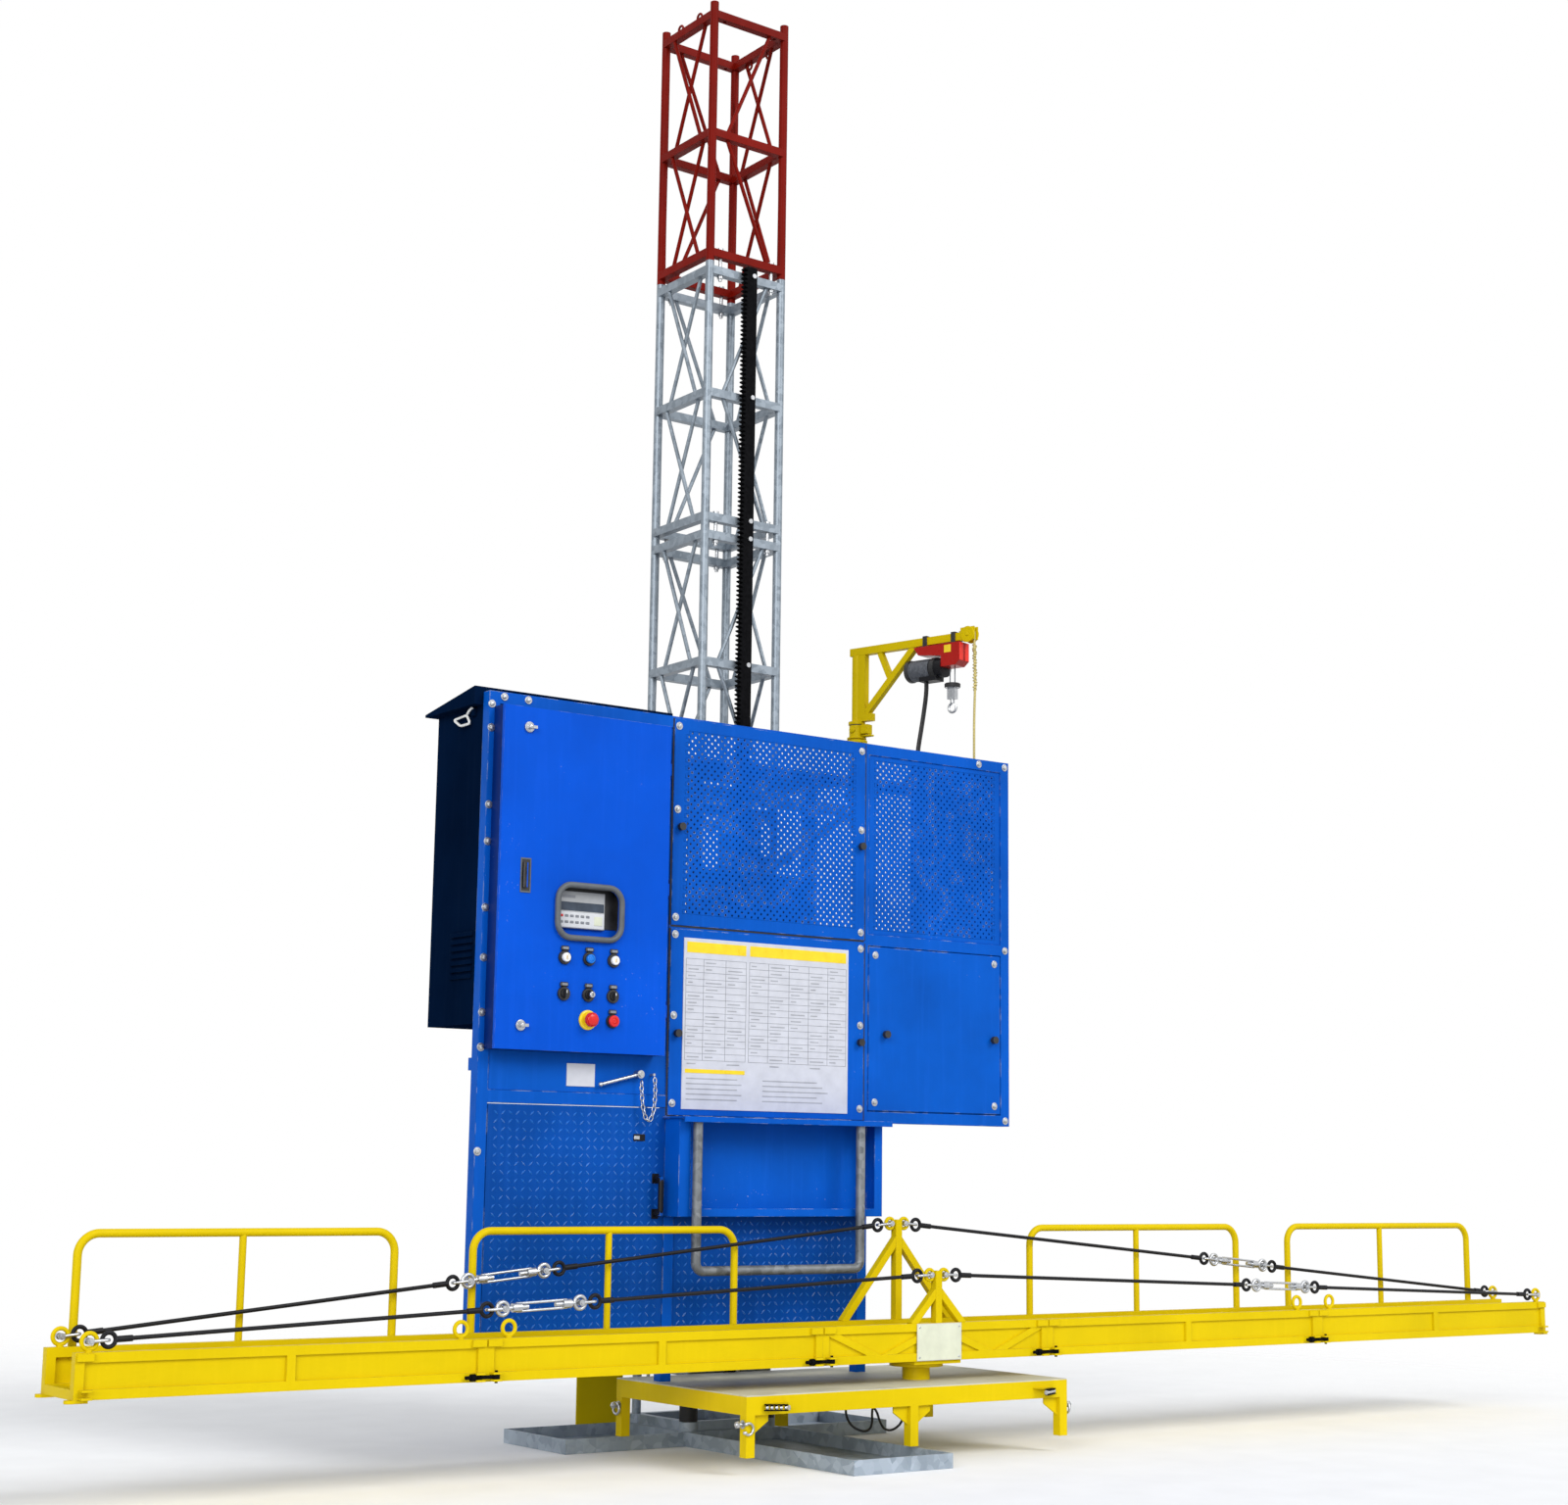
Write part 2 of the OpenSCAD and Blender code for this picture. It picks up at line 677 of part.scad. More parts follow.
// grip knobs of the covers and the hatch, y is the face they stand on
module grip_knob(x, y, z) {
    rod_y(x, y - 34, y - 12, z, 40);
    rod_y(x, y - 13, y, z, 22);
}
module cover_knobs() {
    y = front - cover_t;
    zv = (vent_z0 + vent_z1) / 2 - 30;
    zn = (note_z0 + note_z1) / 2 - 60;
    zh = (hatch_z0 + hatch_z1) / 2 - 30;
    color("black") {
        for (z = [zv, zn]) for (x = [cover_x0 + 40, cover_x1 - 35]) grip_knob(x, y, z);
        for (x = [hatch_x0 + 110, hatch_x1 - 60]) grip_knob(x, front, zh);
    }
}
module notice_plates() {
    s = frame_s;
    y = front - cover_t;
    color("white") {
        bx(post_1 + s + 25, post_2 - 80, y - 4, y, wing_low + 45, mid_rail - 35);
        bx(note_plate_x - note_plate_w / 2, note_plate_x + note_plate_w / 2, sheet_y - 4, sheet_y,
            left_rail + s + 30, left_rail + s + 140);
        bx(beam_x - beam_plate_w / 2, beam_x + beam_plate_w / 2, beam_front - 5, beam_front,
            beam_z + 2, beam_top - 2);
    }
}
module side_box() {
    y0 = back;
    y1 = back + side_deep;
    t = 5;
    x1 = post_1 + 30;
    z1 = house_top - roof_fall - 12;
    edge = y1 + roof_over;
    color("midnightblue") {
        difference() {
            bx(x_left, x1, y0, y1, side_low, z1);
            bx(x_left + t, x1 - t, y0 - 1, y1 - t, side_low + t, z1 - t);
        }
        translate([x_left - roof_over, 0, 0]) rotate([90, 0, 90]) linear_extrude(x1 - x_left + roof_over + 3)
            polygon([[y0 + 1, z1 - 1], [y0 + 1, house_top + roof_rise], [edge, house_top - roof_fall],
                [edge, z1 - 1]]);
        for (k = [0:6]) translate([x_left - 12, y0 + 20, side_low + 220 + 34 * k]) cube([13, louvre_w, 20]);
    }
}

// hinges: pin, two lugs and the plate they stand on, and the knuckle of the moving leaf
module hinge_pin(x, y, z) {
    rod_z(x, y, z - knuckle_h / 2 - 20, z + knuckle_h / 2 + 20, pin_d);
    m = knuckle_h / 2 + 11;
    for (q = [-1, 1]) rod_z(x, y, z + q * m - 9, z + q * m + 9, knuckle_d);
}
module hinge_knuckle(x, y, z) {
    difference() {
        children();
        rod_z(x, y, z - knuckle_h, z + knuckle_h, pin_d + 2 * run_gap);
    }
}
module lug_pair(x0, x1, y0, y1, z) {
    for (q = [-1, 1]) bx(x0, x1, y0, y1, z + q * (knuckle_h / 2 + 11) - 9, z + q * (knuckle_h / 2 + 11) + 9);
}
box_hinge_x = box_x1 + hinge_out;
box_hinge_y = box_y - leaf / 2;
box_hinges = [box_z0 + 220, (box_z0 + box_z1) / 2, box_z1 - 220];
tread_z0 = house_low + frame_s + seam;
tread_z1 = left_rail - seam;
tread_x0 = x_left + frame_s + seam;
tread_x1 = post_1 - seam;
tread_hinge_x = tread_x0 + 9;
tread_hinge_y = front + leaf + 12;
function two(z0, z1) = [z0 + 160, z1 - 160];

module control_box() {
    t = box_wall;
    color("royalblue") {
        difference() {
            bx(box_x0, box_x1, box_y, front, box_z0, box_z1);
            bx(box_x0 + t, box_x1 - t, box_y - 1, front - t, box_z0 + t, box_z1 - t);
        }
        for (z = box_hinges) {
            hinge_pin(box_hinge_x, box_hinge_y, z);
            lug_pair(box_x1, box_hinge_x + 4, box_y, box_y + 14, z);
            lug_pair(box_hinge_x - 4, box_hinge_x + 4, box_hinge_y, box_y + 14, z);
        }
    }
}
module control_gear() {
    y1 = front - box_wall;
    x0 = box_x0 + 60;
    x1 = box_x1 - 60;
    z0 = box_z0 + 80;
    z1 = box_z1 - 80;
    color("gainsboro") {
        bx(x0, x1, y1 - 4, y1, z0, z1);
        bx(x0 + 60, x0 + 360, y1 - 74, y1 - 4, z1 - 560, z1 - 80);
        for (k = [0:3]) bx(x0 + 430 + 95 * k, x0 + 510 + 95 * k, y1 - 64, y1 - 4, z1 - 260, z1 - 120);
        for (k = [0:5]) bx(x0 + 430 + 62 * k, x0 + 484 + 62 * k, y1 - 58, y1 - 4, z1 - 520, z1 - 420);
        bx(x0 + 60, x1 - 60, y1 - 44, y1 - 4, z0 + 100, z0 + 150);
        bx(x0 + 40, x0 + 210, y1 - 70, y1 - 4, z0 + 320, z0 + 560);
    }
}

// control door with the places of its display, buttons and locks
panel_x = [-1361, -1222, -1081];
panel_z = [wing_low + 752, wing_low + 577, wing_low + 456];
disp_x = -1227;
disp_z = wing_low + 978;
cap_d = 40;
collar_d = 64;
collar_h = 10;
stop_d = 92;
stem_d = 22;
door_skin = 4;
disp_w = 390;
disp_h = 282;
disp_r = 86;
disp_deep = 54;
bezel = 24;
bezel_h = 16;
lock_x = -1596;
lock_z = [box_z0 + 115, box_z1 - 100];
lock_shaft = 20;
places = [[panel_x[0], panel_z[0]], [panel_x[1], panel_z[0]], [panel_x[2], panel_z[0]],
    [panel_x[2], panel_z[2]], [panel_x[0], panel_z[1]], [panel_x[1], panel_z[1]], [panel_x[2], panel_z[1]]];
// upright block with rounded corners, from y0 to y1
module round_block(x, z, w, h, r, y0, y1) {
    bx(x - w / 2, x + w / 2, y0, y1, z - h / 2 + r, z + h / 2 - r);
    bx(x - w / 2 + r, x + w / 2 - r, y0, y1, z - h / 2, z + h / 2);
    for (a = [-1, 1]) for (b = [-1, 1]) rod_y(x + a * (w / 2 - r), y0, y1, z + b * (h / 2 - r), 2 * r);
}
// block behind the window, kept in by t on its four sides
module window_box(t, y0, y1) {
    w = disp_w / 2 - t;
    h = disp_h / 2 - t;
    bx(disp_x - w, disp_x + w, y0, y1, disp_z - h, disp_z + h);
}
module control_door() {
    rim = 14;
    color("royalblue") {
        difference() {
            union() {
                bx(box_x0, box_x1, door_y, door_y + leaf - 1, box_z0, box_z1);
                for (p = places) rod_y(p[0], door_y - collar_h, door_y + 1, p[1], collar_d);
                rod_y(panel_x[1], door_y - collar_h, door_y + 1, panel_z[2], stop_d);
                round_block(disp_x, disp_z, disp_w, disp_h, disp_r, door_y - bezel_h, door_y + 1);
            }
            bx(box_x0 + rim, box_x1 - rim, door_y + door_skin, door_y + leaf + 1, box_z0 + rim, box_z1 - rim);
            round_block(disp_x, disp_z, disp_w - 2 * bezel, disp_h - 2 * bezel, disp_r - bezel,
                door_y - bezel_h - 1, door_y + leaf);
            for (z = lock_z) rod_y(lock_x, door_y - 1, door_y + leaf, z, lock_shaft + 2 * run_gap);
            for (p = places) {
                rod_y(p[0], door_y - collar_h - 1, door_y - 2, p[1], cap_d + 2);
                rod_y(p[0], door_y - collar_h - 1, door_y + leaf, p[1], stem_d + 1);
            }
            rod_y(panel_x[1], door_y - collar_h - 1, door_y + leaf, panel_z[2], stem_d + 1);
            bx(-1606, -1576, door_y - 1, door_y + 2.5, wing_low + 1060, wing_low + 1210);
        }
        bx(-1599, -1583, door_y - 12, door_y + 2.6, wing_low + 1075, wing_low + 1195);
        difference() {
            window_box(0, door_y + 3, door_y + disp_deep);
            window_box(4, door_y, door_y + disp_deep - 4);
        }
        for (z = box_hinges) hinge_knuckle(box_hinge_x, box_hinge_y, z) {
            union() {
                rod_z(box_hinge_x, box_hinge_y, z - knuckle_h / 2, z + knuckle_h / 2, knuckle_d);
                bx(box_x1 - 1, box_hinge_x, box_hinge_y - 4, box_hinge_y + 4, z - knuckle_h / 2,
                    z + knuckle_h / 2);
            }
        }
    }
}
// quarter-turn lock with a wing handle and a tongue behind the door
module lock(z) {
    rod_y(lock_x, door_y - 14, door_y - free_gap, z, 44);
    rod_y(lock_x, door_y - 1, door_y + door_skin + 10, z, lock_shaft);
    bx(lock_x - 9, lock_x + 34, door_y - 26, door_y - 13, z - 7, z + 7);
    bx(lock_x - 12, lock_x + 12, door_y + door_skin + 2, door_y + door_skin + 8, z - 12, z + 40);
}
module lock_1() { color("silver") lock(lock_z[1]); }
module lock_2() { color("silver") lock(lock_z[0]); }
// push button: cap in its collar, stem through the door
module push(p, proud) {
    rod_y(p[0], door_y - collar_h - proud, door_y - 2 - 6, p[1], cap_d);
    rod_y(p[0], door_y - 9, door_y + 12, p[1], stem_d);
}
module button_1() { color("white") push(places[0], 8); }
module button_2() { color("blue") push(places[1], 8); }
module button_3() { color("white") push(places[2], 8); }
module button_4() { color("red") push(places[3], 8); }
module stop_button() {
    p = [panel_x[1], panel_z[2]];
    y = door_y - collar_h;
    color("red") {
        rod_y(p[0], y - 44, y - 24, p[1], 66);
        rod_y(p[0], y - 25, y - 10, p[1], 40);
        rod_y(p[0], y - 11, door_y + 12, p[1], stem_d);
    }
}
module selector(p) {
    y = door_y - collar_h;
    rod_y(p[0], y - 6, door_y - 3, p[1], cap_d);
    bx(p[0] - 6, p[0] + 6, y - 26, y - 5, p[1] - 19, p[1] + 19);
    rod_y(p[0], door_y - 4, door_y + 12, p[1], stem_d);
}
module selector_1() { color("black") selector(places[4]); }
module selector_2() { color("black") selector(places[5]); }
module selector_3() { color("black") selector(places[6]); }

// door of the lower part, hung on the left post and opening inwards
module tread_door() {
    rim = 16;
    hz0 = wing_low - 480;
    hz1 = wing_low - 290;
    hx = tread_x1 - 52;
    color("royalblue") {
        difference() {
            bx(tread_x0, tread_x1, front, front + leaf, tread_z0, tread_z1);
            bx(tread_x0 + rim, tread_x1 - rim, front + 6, front + leaf + 1, tread_z0 + rim, tread_z1 - rim);
            bx(hx - 130, hx - 70, front - 1, front + 3, wing_low - 112, wing_low - 90);
        }
        bx(hx - 9, hx + 9, front - 62, front - 44, hz0, hz1);
        for (z = [hz0, hz1 - 18]) bx(hx - 9, hx + 9, front - 62, front + 1, z, z + 18);
        for (z = two(tread_z0, tread_z1)) hinge_knuckle(tread_hinge_x, tread_hinge_y, z) union() {
            rod_z(tread_hinge_x, tread_hinge_y, z - knuckle_h / 2, z + knuckle_h / 2, knuckle_d);
            bx(tread_hinge_x, tread_hinge_x + 9, front + leaf - 1, tread_hinge_y, z - knuckle_h / 2,
                z + knuckle_h / 2);
        }
    }
}
// fixed halves of the lower door's hinges, screwed to the left post
module door_pins() {
    for (z = two(tread_z0, tread_z1)) {
        hinge_pin(tread_hinge_x, tread_hinge_y, z);
        lug_pair(x_left + frame_s, tread_hinge_x, tread_hinge_y - 4, tread_hinge_y + 4, z);
    }
}
module bolt_head(x, y, z) {
    rod_y(x, y - 9, y, z, 24);
}
module house_bolts() {
    s = frame_s;
    color("silver") {
        door_pins();
        rod_y(lever_x, lever_y - 24, sheet_y, lever_z, lever_pin);
        rod_y(lever_x, lever_y - 24, lever_y - 16 - free_gap, lever_z, 26);
        rod_y(chain_x, lever_y - 8, sheet_y, lever_z, lever_pin);
        for (h = flange_bolts) bolt_head(x_left + 14, front, wing_low + h);
        for (x = [x_right - 220, x_right - 30]) bolt_head(x, front, house_top - 28);
        for (z = [wing_low + 30, mid_rail + 30]) bolt_head(x_right - 30, front, z);
        for (x = [cover_x0 + 26, cover_x1 - 26]) {
            for (z = [vent_z0 + 40, (vent_z0 + vent_z1) / 2 + 60, vent_z1 - 40])
                bolt_head(x, front - cover_t, z);
            for (z = [note_z0 + 60, (note_z0 + note_z1) / 2 + 30, note_z1 - 30])
                bolt_head(x, front - cover_t, z);
        }
        for (x = [hatch_x0 + 45, hatch_x1 - 45])
            for (z = [hatch_z0 + 45, hatch_z1 - 45]) bolt_head(x, front, z);
        for (x = [x_left + 82, x_left + 217]) bolt_head(x, front, house_top - 24);
    }
}

// brake lever on the panel under the control box, its handle to the lower left
lever_x = -860;
lever_z = left_rail + frame_s + 98;
lever_y = sheet_y - 26;
lever_len = 230;
lever_pin = 14;
lever_down = 14;
chain_x = lever_x + 83;
module brake_lever() {
    tip = [lever_x - lever_len * cos(lever_down), lever_y, lever_z - lever_len * sin(lever_down)];
    color("silver") difference() {
        union() {
            rod_y(lever_x, lever_y - 16, sheet_y - free_gap, lever_z, 40);
            rod([lever_x, lever_y, lever_z], tip, 18);
            translate(tip) sphere(d = 24);
        }
        rod_y(lever_x, lever_y - 20, sheet_y, lever_z, lever_pin + 2 * run_gap);
    }
}

// tray and step bar under the notice panel
module tray_box() {
    w = tray_wall;
    y0 = front - tray_deep;
    color("royalblue") {
        difference() {
            bx(tray_x0, tray_x1, y0, front, tray_z0, tray_z1);
            bx(tray_x0 + w, tray_x1 - w, y0 - 1, front - w, tray_z0 + w, tray_z1 + 1);
        }
        bx(tray_x0, tray_x0 + 70, y0, y0 + w, tray_z0, tray_z1);
        bx(tray_x1 - 50, tray_x1, y0, y0 + w, tray_z0, tray_z1);
        bx(tray_x0, tray_x1, y0, y0 + w, tray_z0, tray_z0 + 40);
        bx(tray_x0 - 15, tray_x1 + 12, y0 - 70, front, tray_z1 - w, tray_z1);
        bx(tray_x0 - 15, tray_x1 + 12, y0 - 70, y0 - 70 + w, tray_z1 - tray_lip, tray_z1);
    }
}
module bend_xz(x, z, r, a, d) {
    translate([x, step_y, z]) rotate([90, 0, 0]) rotate([0, 0, a]) rotate_extrude(angle = 90)
        translate([r, 0]) circle(d = d);
}
module step_bar() {
    r = step_bend;
    z1 = tray_z1 - tray_wall;
    color("lightslategray") {
        rod_z(step_x0, step_y, step_z + r, z1, step_d);
        rod_z(step_x1, step_y, step_z + r, z1, step_d);
        rod_x(step_x0 + r, step_x1 - r, step_y, step_z, step_d);
        bend_xz(step_x0 + r, step_z + r, r, 180, step_d);
        bend_xz(step_x1 - r, step_z + r, r, 270, step_d);
    }
}

// deck
deck_y0 = -deck_front;
deck_legs_x = [-deck_left, (deck_right - deck_left) / 2 - deck_tube / 2, deck_right - deck_tube];
board_z = deck_z - plate_t - deck_board;
ped_x = beam_x;
ped_y = (beam_front + beam_back) / 2;
module deck_leg(x, y) {
    bx(x, x + deck_tube, y, y + deck_tube, leg_low, board_z + 1);
}
module leg_gusset(x, y) {
    translate([x, y + 8, 0]) rotate([90, 0, 0]) linear_extrude(8)
        polygon([[-gusset, board_z + 1], [-gusset, board_z - 30], [0, board_z - gusset],
            [deck_tube, board_z - gusset], [deck_tube + gusset, board_z - 30],
            [deck_tube + gusset, board_z + 1]]);
}
module deck_frame() {
    t = deck_tube;
    x0 = -deck_left;
    x1 = deck_right;
    z1 = deck_z - plate_t;
    color("gold") {
        bx(x0, x1, deck_y0, deck_y0 + t, board_z, z1);
        bx(x0, x1, deck_back - t, deck_back, board_z, z1);
        bx(x0, x0 + t, deck_y0, deck_back, board_z, z1);
        bx(x1 - t, x1, deck_y0, deck_back, board_z, z1);
        for (x = [post_1, post_2]) bx(x, x + frame_s, deck_y0, deck_back, board_z, z1);
        bx(x0, x1, ped_y - 60, ped_y + 60, board_z, z1);
        for (x = deck_legs_x) {
            deck_leg(x, deck_y0);
            deck_leg(x, deck_back - t);
        }
        intersection() {
            for (x = deck_legs_x) leg_gusset(x, deck_y0 + 20);
            bx(x0, x1, deck_y0, deck_back, 0, deck_z);
        }
        rod_z(ped_x, ped_y, z1 - 1, beam_z - 30, ped_d);
        rod_z(ped_x, ped_y, beam_z - 36, beam_z - 16, ped_d + 130);
        bx(ped_x - 150, ped_x + 150, ped_y - 170, ped_y + 170, beam_z - 17, beam_z);
    }
}
module deck_plate() {
    color("gray") difference() {
        bx(-deck_left, deck_right, deck_y0, deck_back, deck_z - plate_t, deck_z);
        rod_z(ped_x, ped_y, deck_z - plate_t - 1, deck_z + 1, ped_d + 2);
    }
}
// corner rings on pins and spring bolts on the deck edge
module corner_ring(x, y, s) {
    z = board_z - 40;
    rod_x(s > 0 ? x : x - 46, s > 0 ? x + 46 : x, y, z, 22);
    translate([x + s * 26, y, z - 19]) rotate([0, 90, 0]) rotate_extrude() translate([33, 0]) circle(d = 12);
    rod_x(s > 0 ? x + 38 : x - 46, s > 0 ? x + 46 : x - 38, y, z, 36);
}
module spring_bolt(x) {
    y = deck_y0 - 16;
    z = board_z + 32;
    rod_x(x, x + 120, y, z, 16);
    for (k = [0:5]) rod_x(x + 18 + 15 * k, x + 26 + 15 * k, y, z, 30);
    bx(x + 2, x + 12, y - 12, deck_y0, z - 12, z + 12);
    bx(x + 108, x + 118, y - 12, deck_y0, z - 12, z + 12);
}
module deck_fittings() {
    t = deck_tube / 2;
    color("silver") {
        for (y = [deck_y0 + t, deck_back - t]) {
            corner_ring(-deck_left, y, -1);
            corner_ring(deck_right, y, 1);
        }
        spring_bolt(-deck_left + 90);
        spring_bolt(deck_right - 220);
    }
}
module deck_cable() { color("black") translate([0, 0, board_z]) cord(deck_cable_pts, deck_cable_d); }

// trough beam, sections are made at x = 0 and moved along
module beam_lug(x) {
    for (y = [beam_front - lug_t, beam_back]) for (z = [beam_z + 2, beam_z + 12 + swing_d]) difference() {
        bx(x, x + lug_w, y, y + lug_t, z, z + 9);
        rod_z(x + lug_w / 2, y + lug_t / 2, z - 1, z + 10, swing_pin + 1);
    }
}
module beam_block(x) {
    for (y = [beam_front - 12, beam_back - 1])
        bx(x, x + 70, y, y + 13, beam_top - 34, beam_top - 4);
}
module trough(n, posts) {
    yf = beam_front;
    yb = beam_back;
    c = chord;
    bx(0, n, yf + recess, yb - recess, beam_z, beam_z + 6);
    for (z = [beam_z, beam_top - c]) {
        bx(0, n, yf, yf + c, z, z + c);
        bx(0, n, yb - c, yb, z, z + c);
    }
    bx(0, n, yf + recess, yf + recess + skin, beam_z, beam_top - 1);
    bx(0, n, yb - recess - skin, yb - recess, beam_z, beam_top - 1);
    for (x = posts) {
        bx(x, x + c, yf, yf + c, beam_z, beam_top - 1);
        bx(x, x + c, yb - c, yb, beam_z, beam_top - 1);
        bx(x, x + c, yf, yb, beam_z, beam_z + c);
    }
    for (x = [20, n - 20 - lug_w]) beam_lug(x);
    for (x = [4, n - 74]) beam_block(x);
}
module lift_eye(x, y) {
    eye_xz(x, y, end_eye_z, eye_d, eye_wire);
    rod_z(x, y, beam_top - 2, beam_top + 10, 30);
}
// outer end of an arm: the two stay eyes and the tongues for a further section
module arm_end(x, s) {
    tongue = 44;
    out = 30;
    for (y = [chord_front, chord_back]) {
        lift_eye(x - s * end_eye_in, y);
        rod_z(x + s * (out - tongue / 2), y, beam_z - 12, beam_z + 1, tongue);
        bx(min(x + s * (out - tongue / 2), x - s * 60), max(x + s * (out - tongue / 2), x - s * 60),
            y - tongue / 2, y + tongue / 2, beam_z - 12, beam_z + 1);
    }
}
module arm_section(n) {
    trough(n, [0, n / 2 - chord / 2, n - chord]);
}
module beam_arms() {
    color("gold") {
        translate([x_mid0 - left_len, 0, 0]) {
            arm_section(left_len - joint_gap);
            lift_eye(120, chord_front);
        }
        translate([x_end0, 0, 0]) {
            arm_section(left_len - joint_gap);
            lift_eye(left_len - 120, chord_front);
            arm_end(0, -1);
        }
        translate([x_mid1 + joint_gap, 0, 0]) {
            arm_section(right_len - joint_gap);
            lift_eye(right_len - 150, chord_front);
        }
        translate([x_mid1 + right_len + joint_gap, 0, 0]) {
            arm_section(right_len - joint_gap);
            lift_eye(120, chord_front);
            arm_end(right_len - joint_gap, 1);
        }
    }
}
module beam_middle() {
    n = mid_len;
    q = n / 4;
    zl = beam_z + chord / 2;
    zh = beam_top - chord / 2;
    color("gold") translate([x_mid0, 0, 0]) {
        trough(n, [0, n - chord]);
        for (y = [beam_front + 1, beam_back - recess - 3]) {
            bar_xz(22, zh - 2, q, zl, y, y + recess + 1, 34);
            bar_xz(q, zl, 2 * q, zh - 1, y + 1, y + recess + 2, 33);
            bar_xz(2 * q, zh - 1, 3 * q, zl, y, y + recess + 1, 34);
            bar_xz(3 * q, zl, n - 22, zh - 2, y + 1, y + recess + 2, 33);
        }
    }
}

// one guard rail between two end posts, with a middle post
module guard(x0, x1) {
    z0 = beam_top - 120;
    z1 = beam_top + guard_h - guard_d / 2;
    b = guard_bend;
    for (x = [x0, x1]) rod_z(x, guard_y, z0, z1 - b, guard_d);
    rod_z((x0 + x1) / 2, guard_y, z0, z1, guard_d - 4);
    rod_x(x0 + b, x1 - b, guard_y, z1, guard_d);
    translate([x0 + b, guard_y, z1 - b]) rotate([90, 0, 0]) rotate([0, 0, 90]) rotate_extrude(angle = 90)
        translate([b, 0]) circle(d = guard_d);
    translate([x1 - b, guard_y, z1 - b]) rotate([90, 0, 0]) rotate_extrude(angle = 90)
        translate([b, 0]) circle(d = guard_d);
    for (x = [x0, (x0 + x1) / 2, x1]) for (z = [z0 + 10, z0 + 80])
        bx(x - 12, x + 12, beam_back, guard_y, z, z + 24);
}
module guard_rails() {
    color("gold") {
        guard(x_end0 + 130, x_end0 + left_len - 265);
        guard(x_mid0 - left_len + 135, x_mid0 - 255);
        guard(x_mid1 + 230, x_mid1 + right_len - 245);
        guard(x_mid1 + right_len + 190, x_end1 - 240);
    }
}

// king posts over the middle section, each with an eye to either side
module king(y, h, foot) {
    z1 = beam_top + h;
    s = 40;
    bx(beam_x - s / 2, beam_x + s / 2, y - s / 2, y + s / 2, beam_top, z1);
    intersection() {
        for (q = [-1, 1])
            bar_xz(beam_x + q * foot, beam_top - 8, beam_x, z1 - 90, y - s / 2 + 2, y + s / 2 - 2, 36);
        bx(beam_x - foot - 40, beam_x + foot + 40, y - s, y + s, beam_top, z1);
    }
    for (q = [-1, 1]) eye_xz(beam_x + q * king_eye, y, z1 - 20, king_eye_d, eye_wire);
}
module king_posts() {
    color("gold") {
        king(chord_back, king_back_h, 350);
        king(chord_front, king_front_h, 165);
    }
}

// stays: s is the side, y the wall and h the king post they start from
stays = [[-1, chord_back, king_back_h], [-1, chord_front, king_front_h],
    [1, chord_back, king_back_h], [1, chord_front, king_front_h]];
function stay_a(k) = [beam_x + stays[k][0] * king_eye, stays[k][1], beam_top + stays[k][2] - 20];
function stay_b(k) = [stays[k][0] < 0 ? x_end0 + end_eye_in : x_end1 - end_eye_in, stays[k][1], end_eye_z];
function stay_len(k) = norm(stay_b(k) - stay_a(k));
// along a stay: local X runs from the king post to the beam end
module on_stay(k) {
    v = stay_b(k) - stay_a(k);
    translate(stay_a(k)) rotate([0, -atan2(v[2], v[0]), 0]) children();
}
// rod with an eye at either end, its eye centres at x0 and x1
module eye_rod(x0, x1) {
    neck = 70;
    r = rod_eye_d / 2;
    for (x = [x0, x1]) eye_xz(x, 0, 0, rod_eye_d, eye_wire);
    n = x1 - x0 - 2 * r;
    thin = stay_d / 2;
    thick = thin + 4;
    translate([x0 + r, 0, 0]) rotate([0, 90, 0]) rotate_extrude() polygon([[0, 0], [thick, 0], [thick, neck],
        [thin, neck], [thin, n - neck], [thick, n - neck], [thick, n], [0, n]]);
}
module stay_rods() {
    color("black") for (k = [0:3]) on_stay(k) {
        m = tb_at * stay_len(k);
        eye_rod(link_len, m - tb_span / 2);
        eye_rod(m + tb_span / 2, stay_len(k) - link_len);
    }
}
// shackle lying flat: its bow hangs in the eye at the origin, its pin in the eye a link's length on
module shackle() {
    x1 = link_len;
    for (s = [-1, 1]) {
        rod_x(link_r, x1, s * link_r, 0, link_wire);
        rod_y(x1, s * link_r - link_wire / 2, s * link_r + link_wire / 2, 0, 2 * link_pin);
    }
    translate([link_r, 0, 0]) rotate([0, 0, 90]) rotate_extrude(angle = 180) translate([link_r, 0])
        circle(d = link_wire);
    half = link_r + link_wire / 2 + 4;
    rod_y(x1, -half, half, 0, link_pin);
}
// screw eye of a turnbuckle, its eye centre at x, running to the middle
module screw_eye(x, s) {
    eye_xz(x, 0, 0, rod_eye_d, eye_wire);
    x0 = x + s * (rod_eye_d / 2);
    x1 = x + s * (tb_span / 2 - link_len - tb_len / 2 + tb_grip);
    rod_x(min(x0, x1), max(x0, x1), 0, 0, screw_d);
}
module stay_links() {
    color("silver") for (k = [0:3]) on_stay(k) {
        n = stay_len(k);
        m = tb_at * n;
        h = tb_span / 2;
        translate([link_len, 0, 0]) rotate([0, 0, 180]) shackle();
        translate([n - link_len, 0, 0]) shackle();
        for (s = [-1, 1]) {
            translate([m + s * h, 0, 0]) rotate([0, 0, s > 0 ? 180 : 0]) shackle();
            screw_eye(m + s * (h - link_len), -s);
        }
    }
}
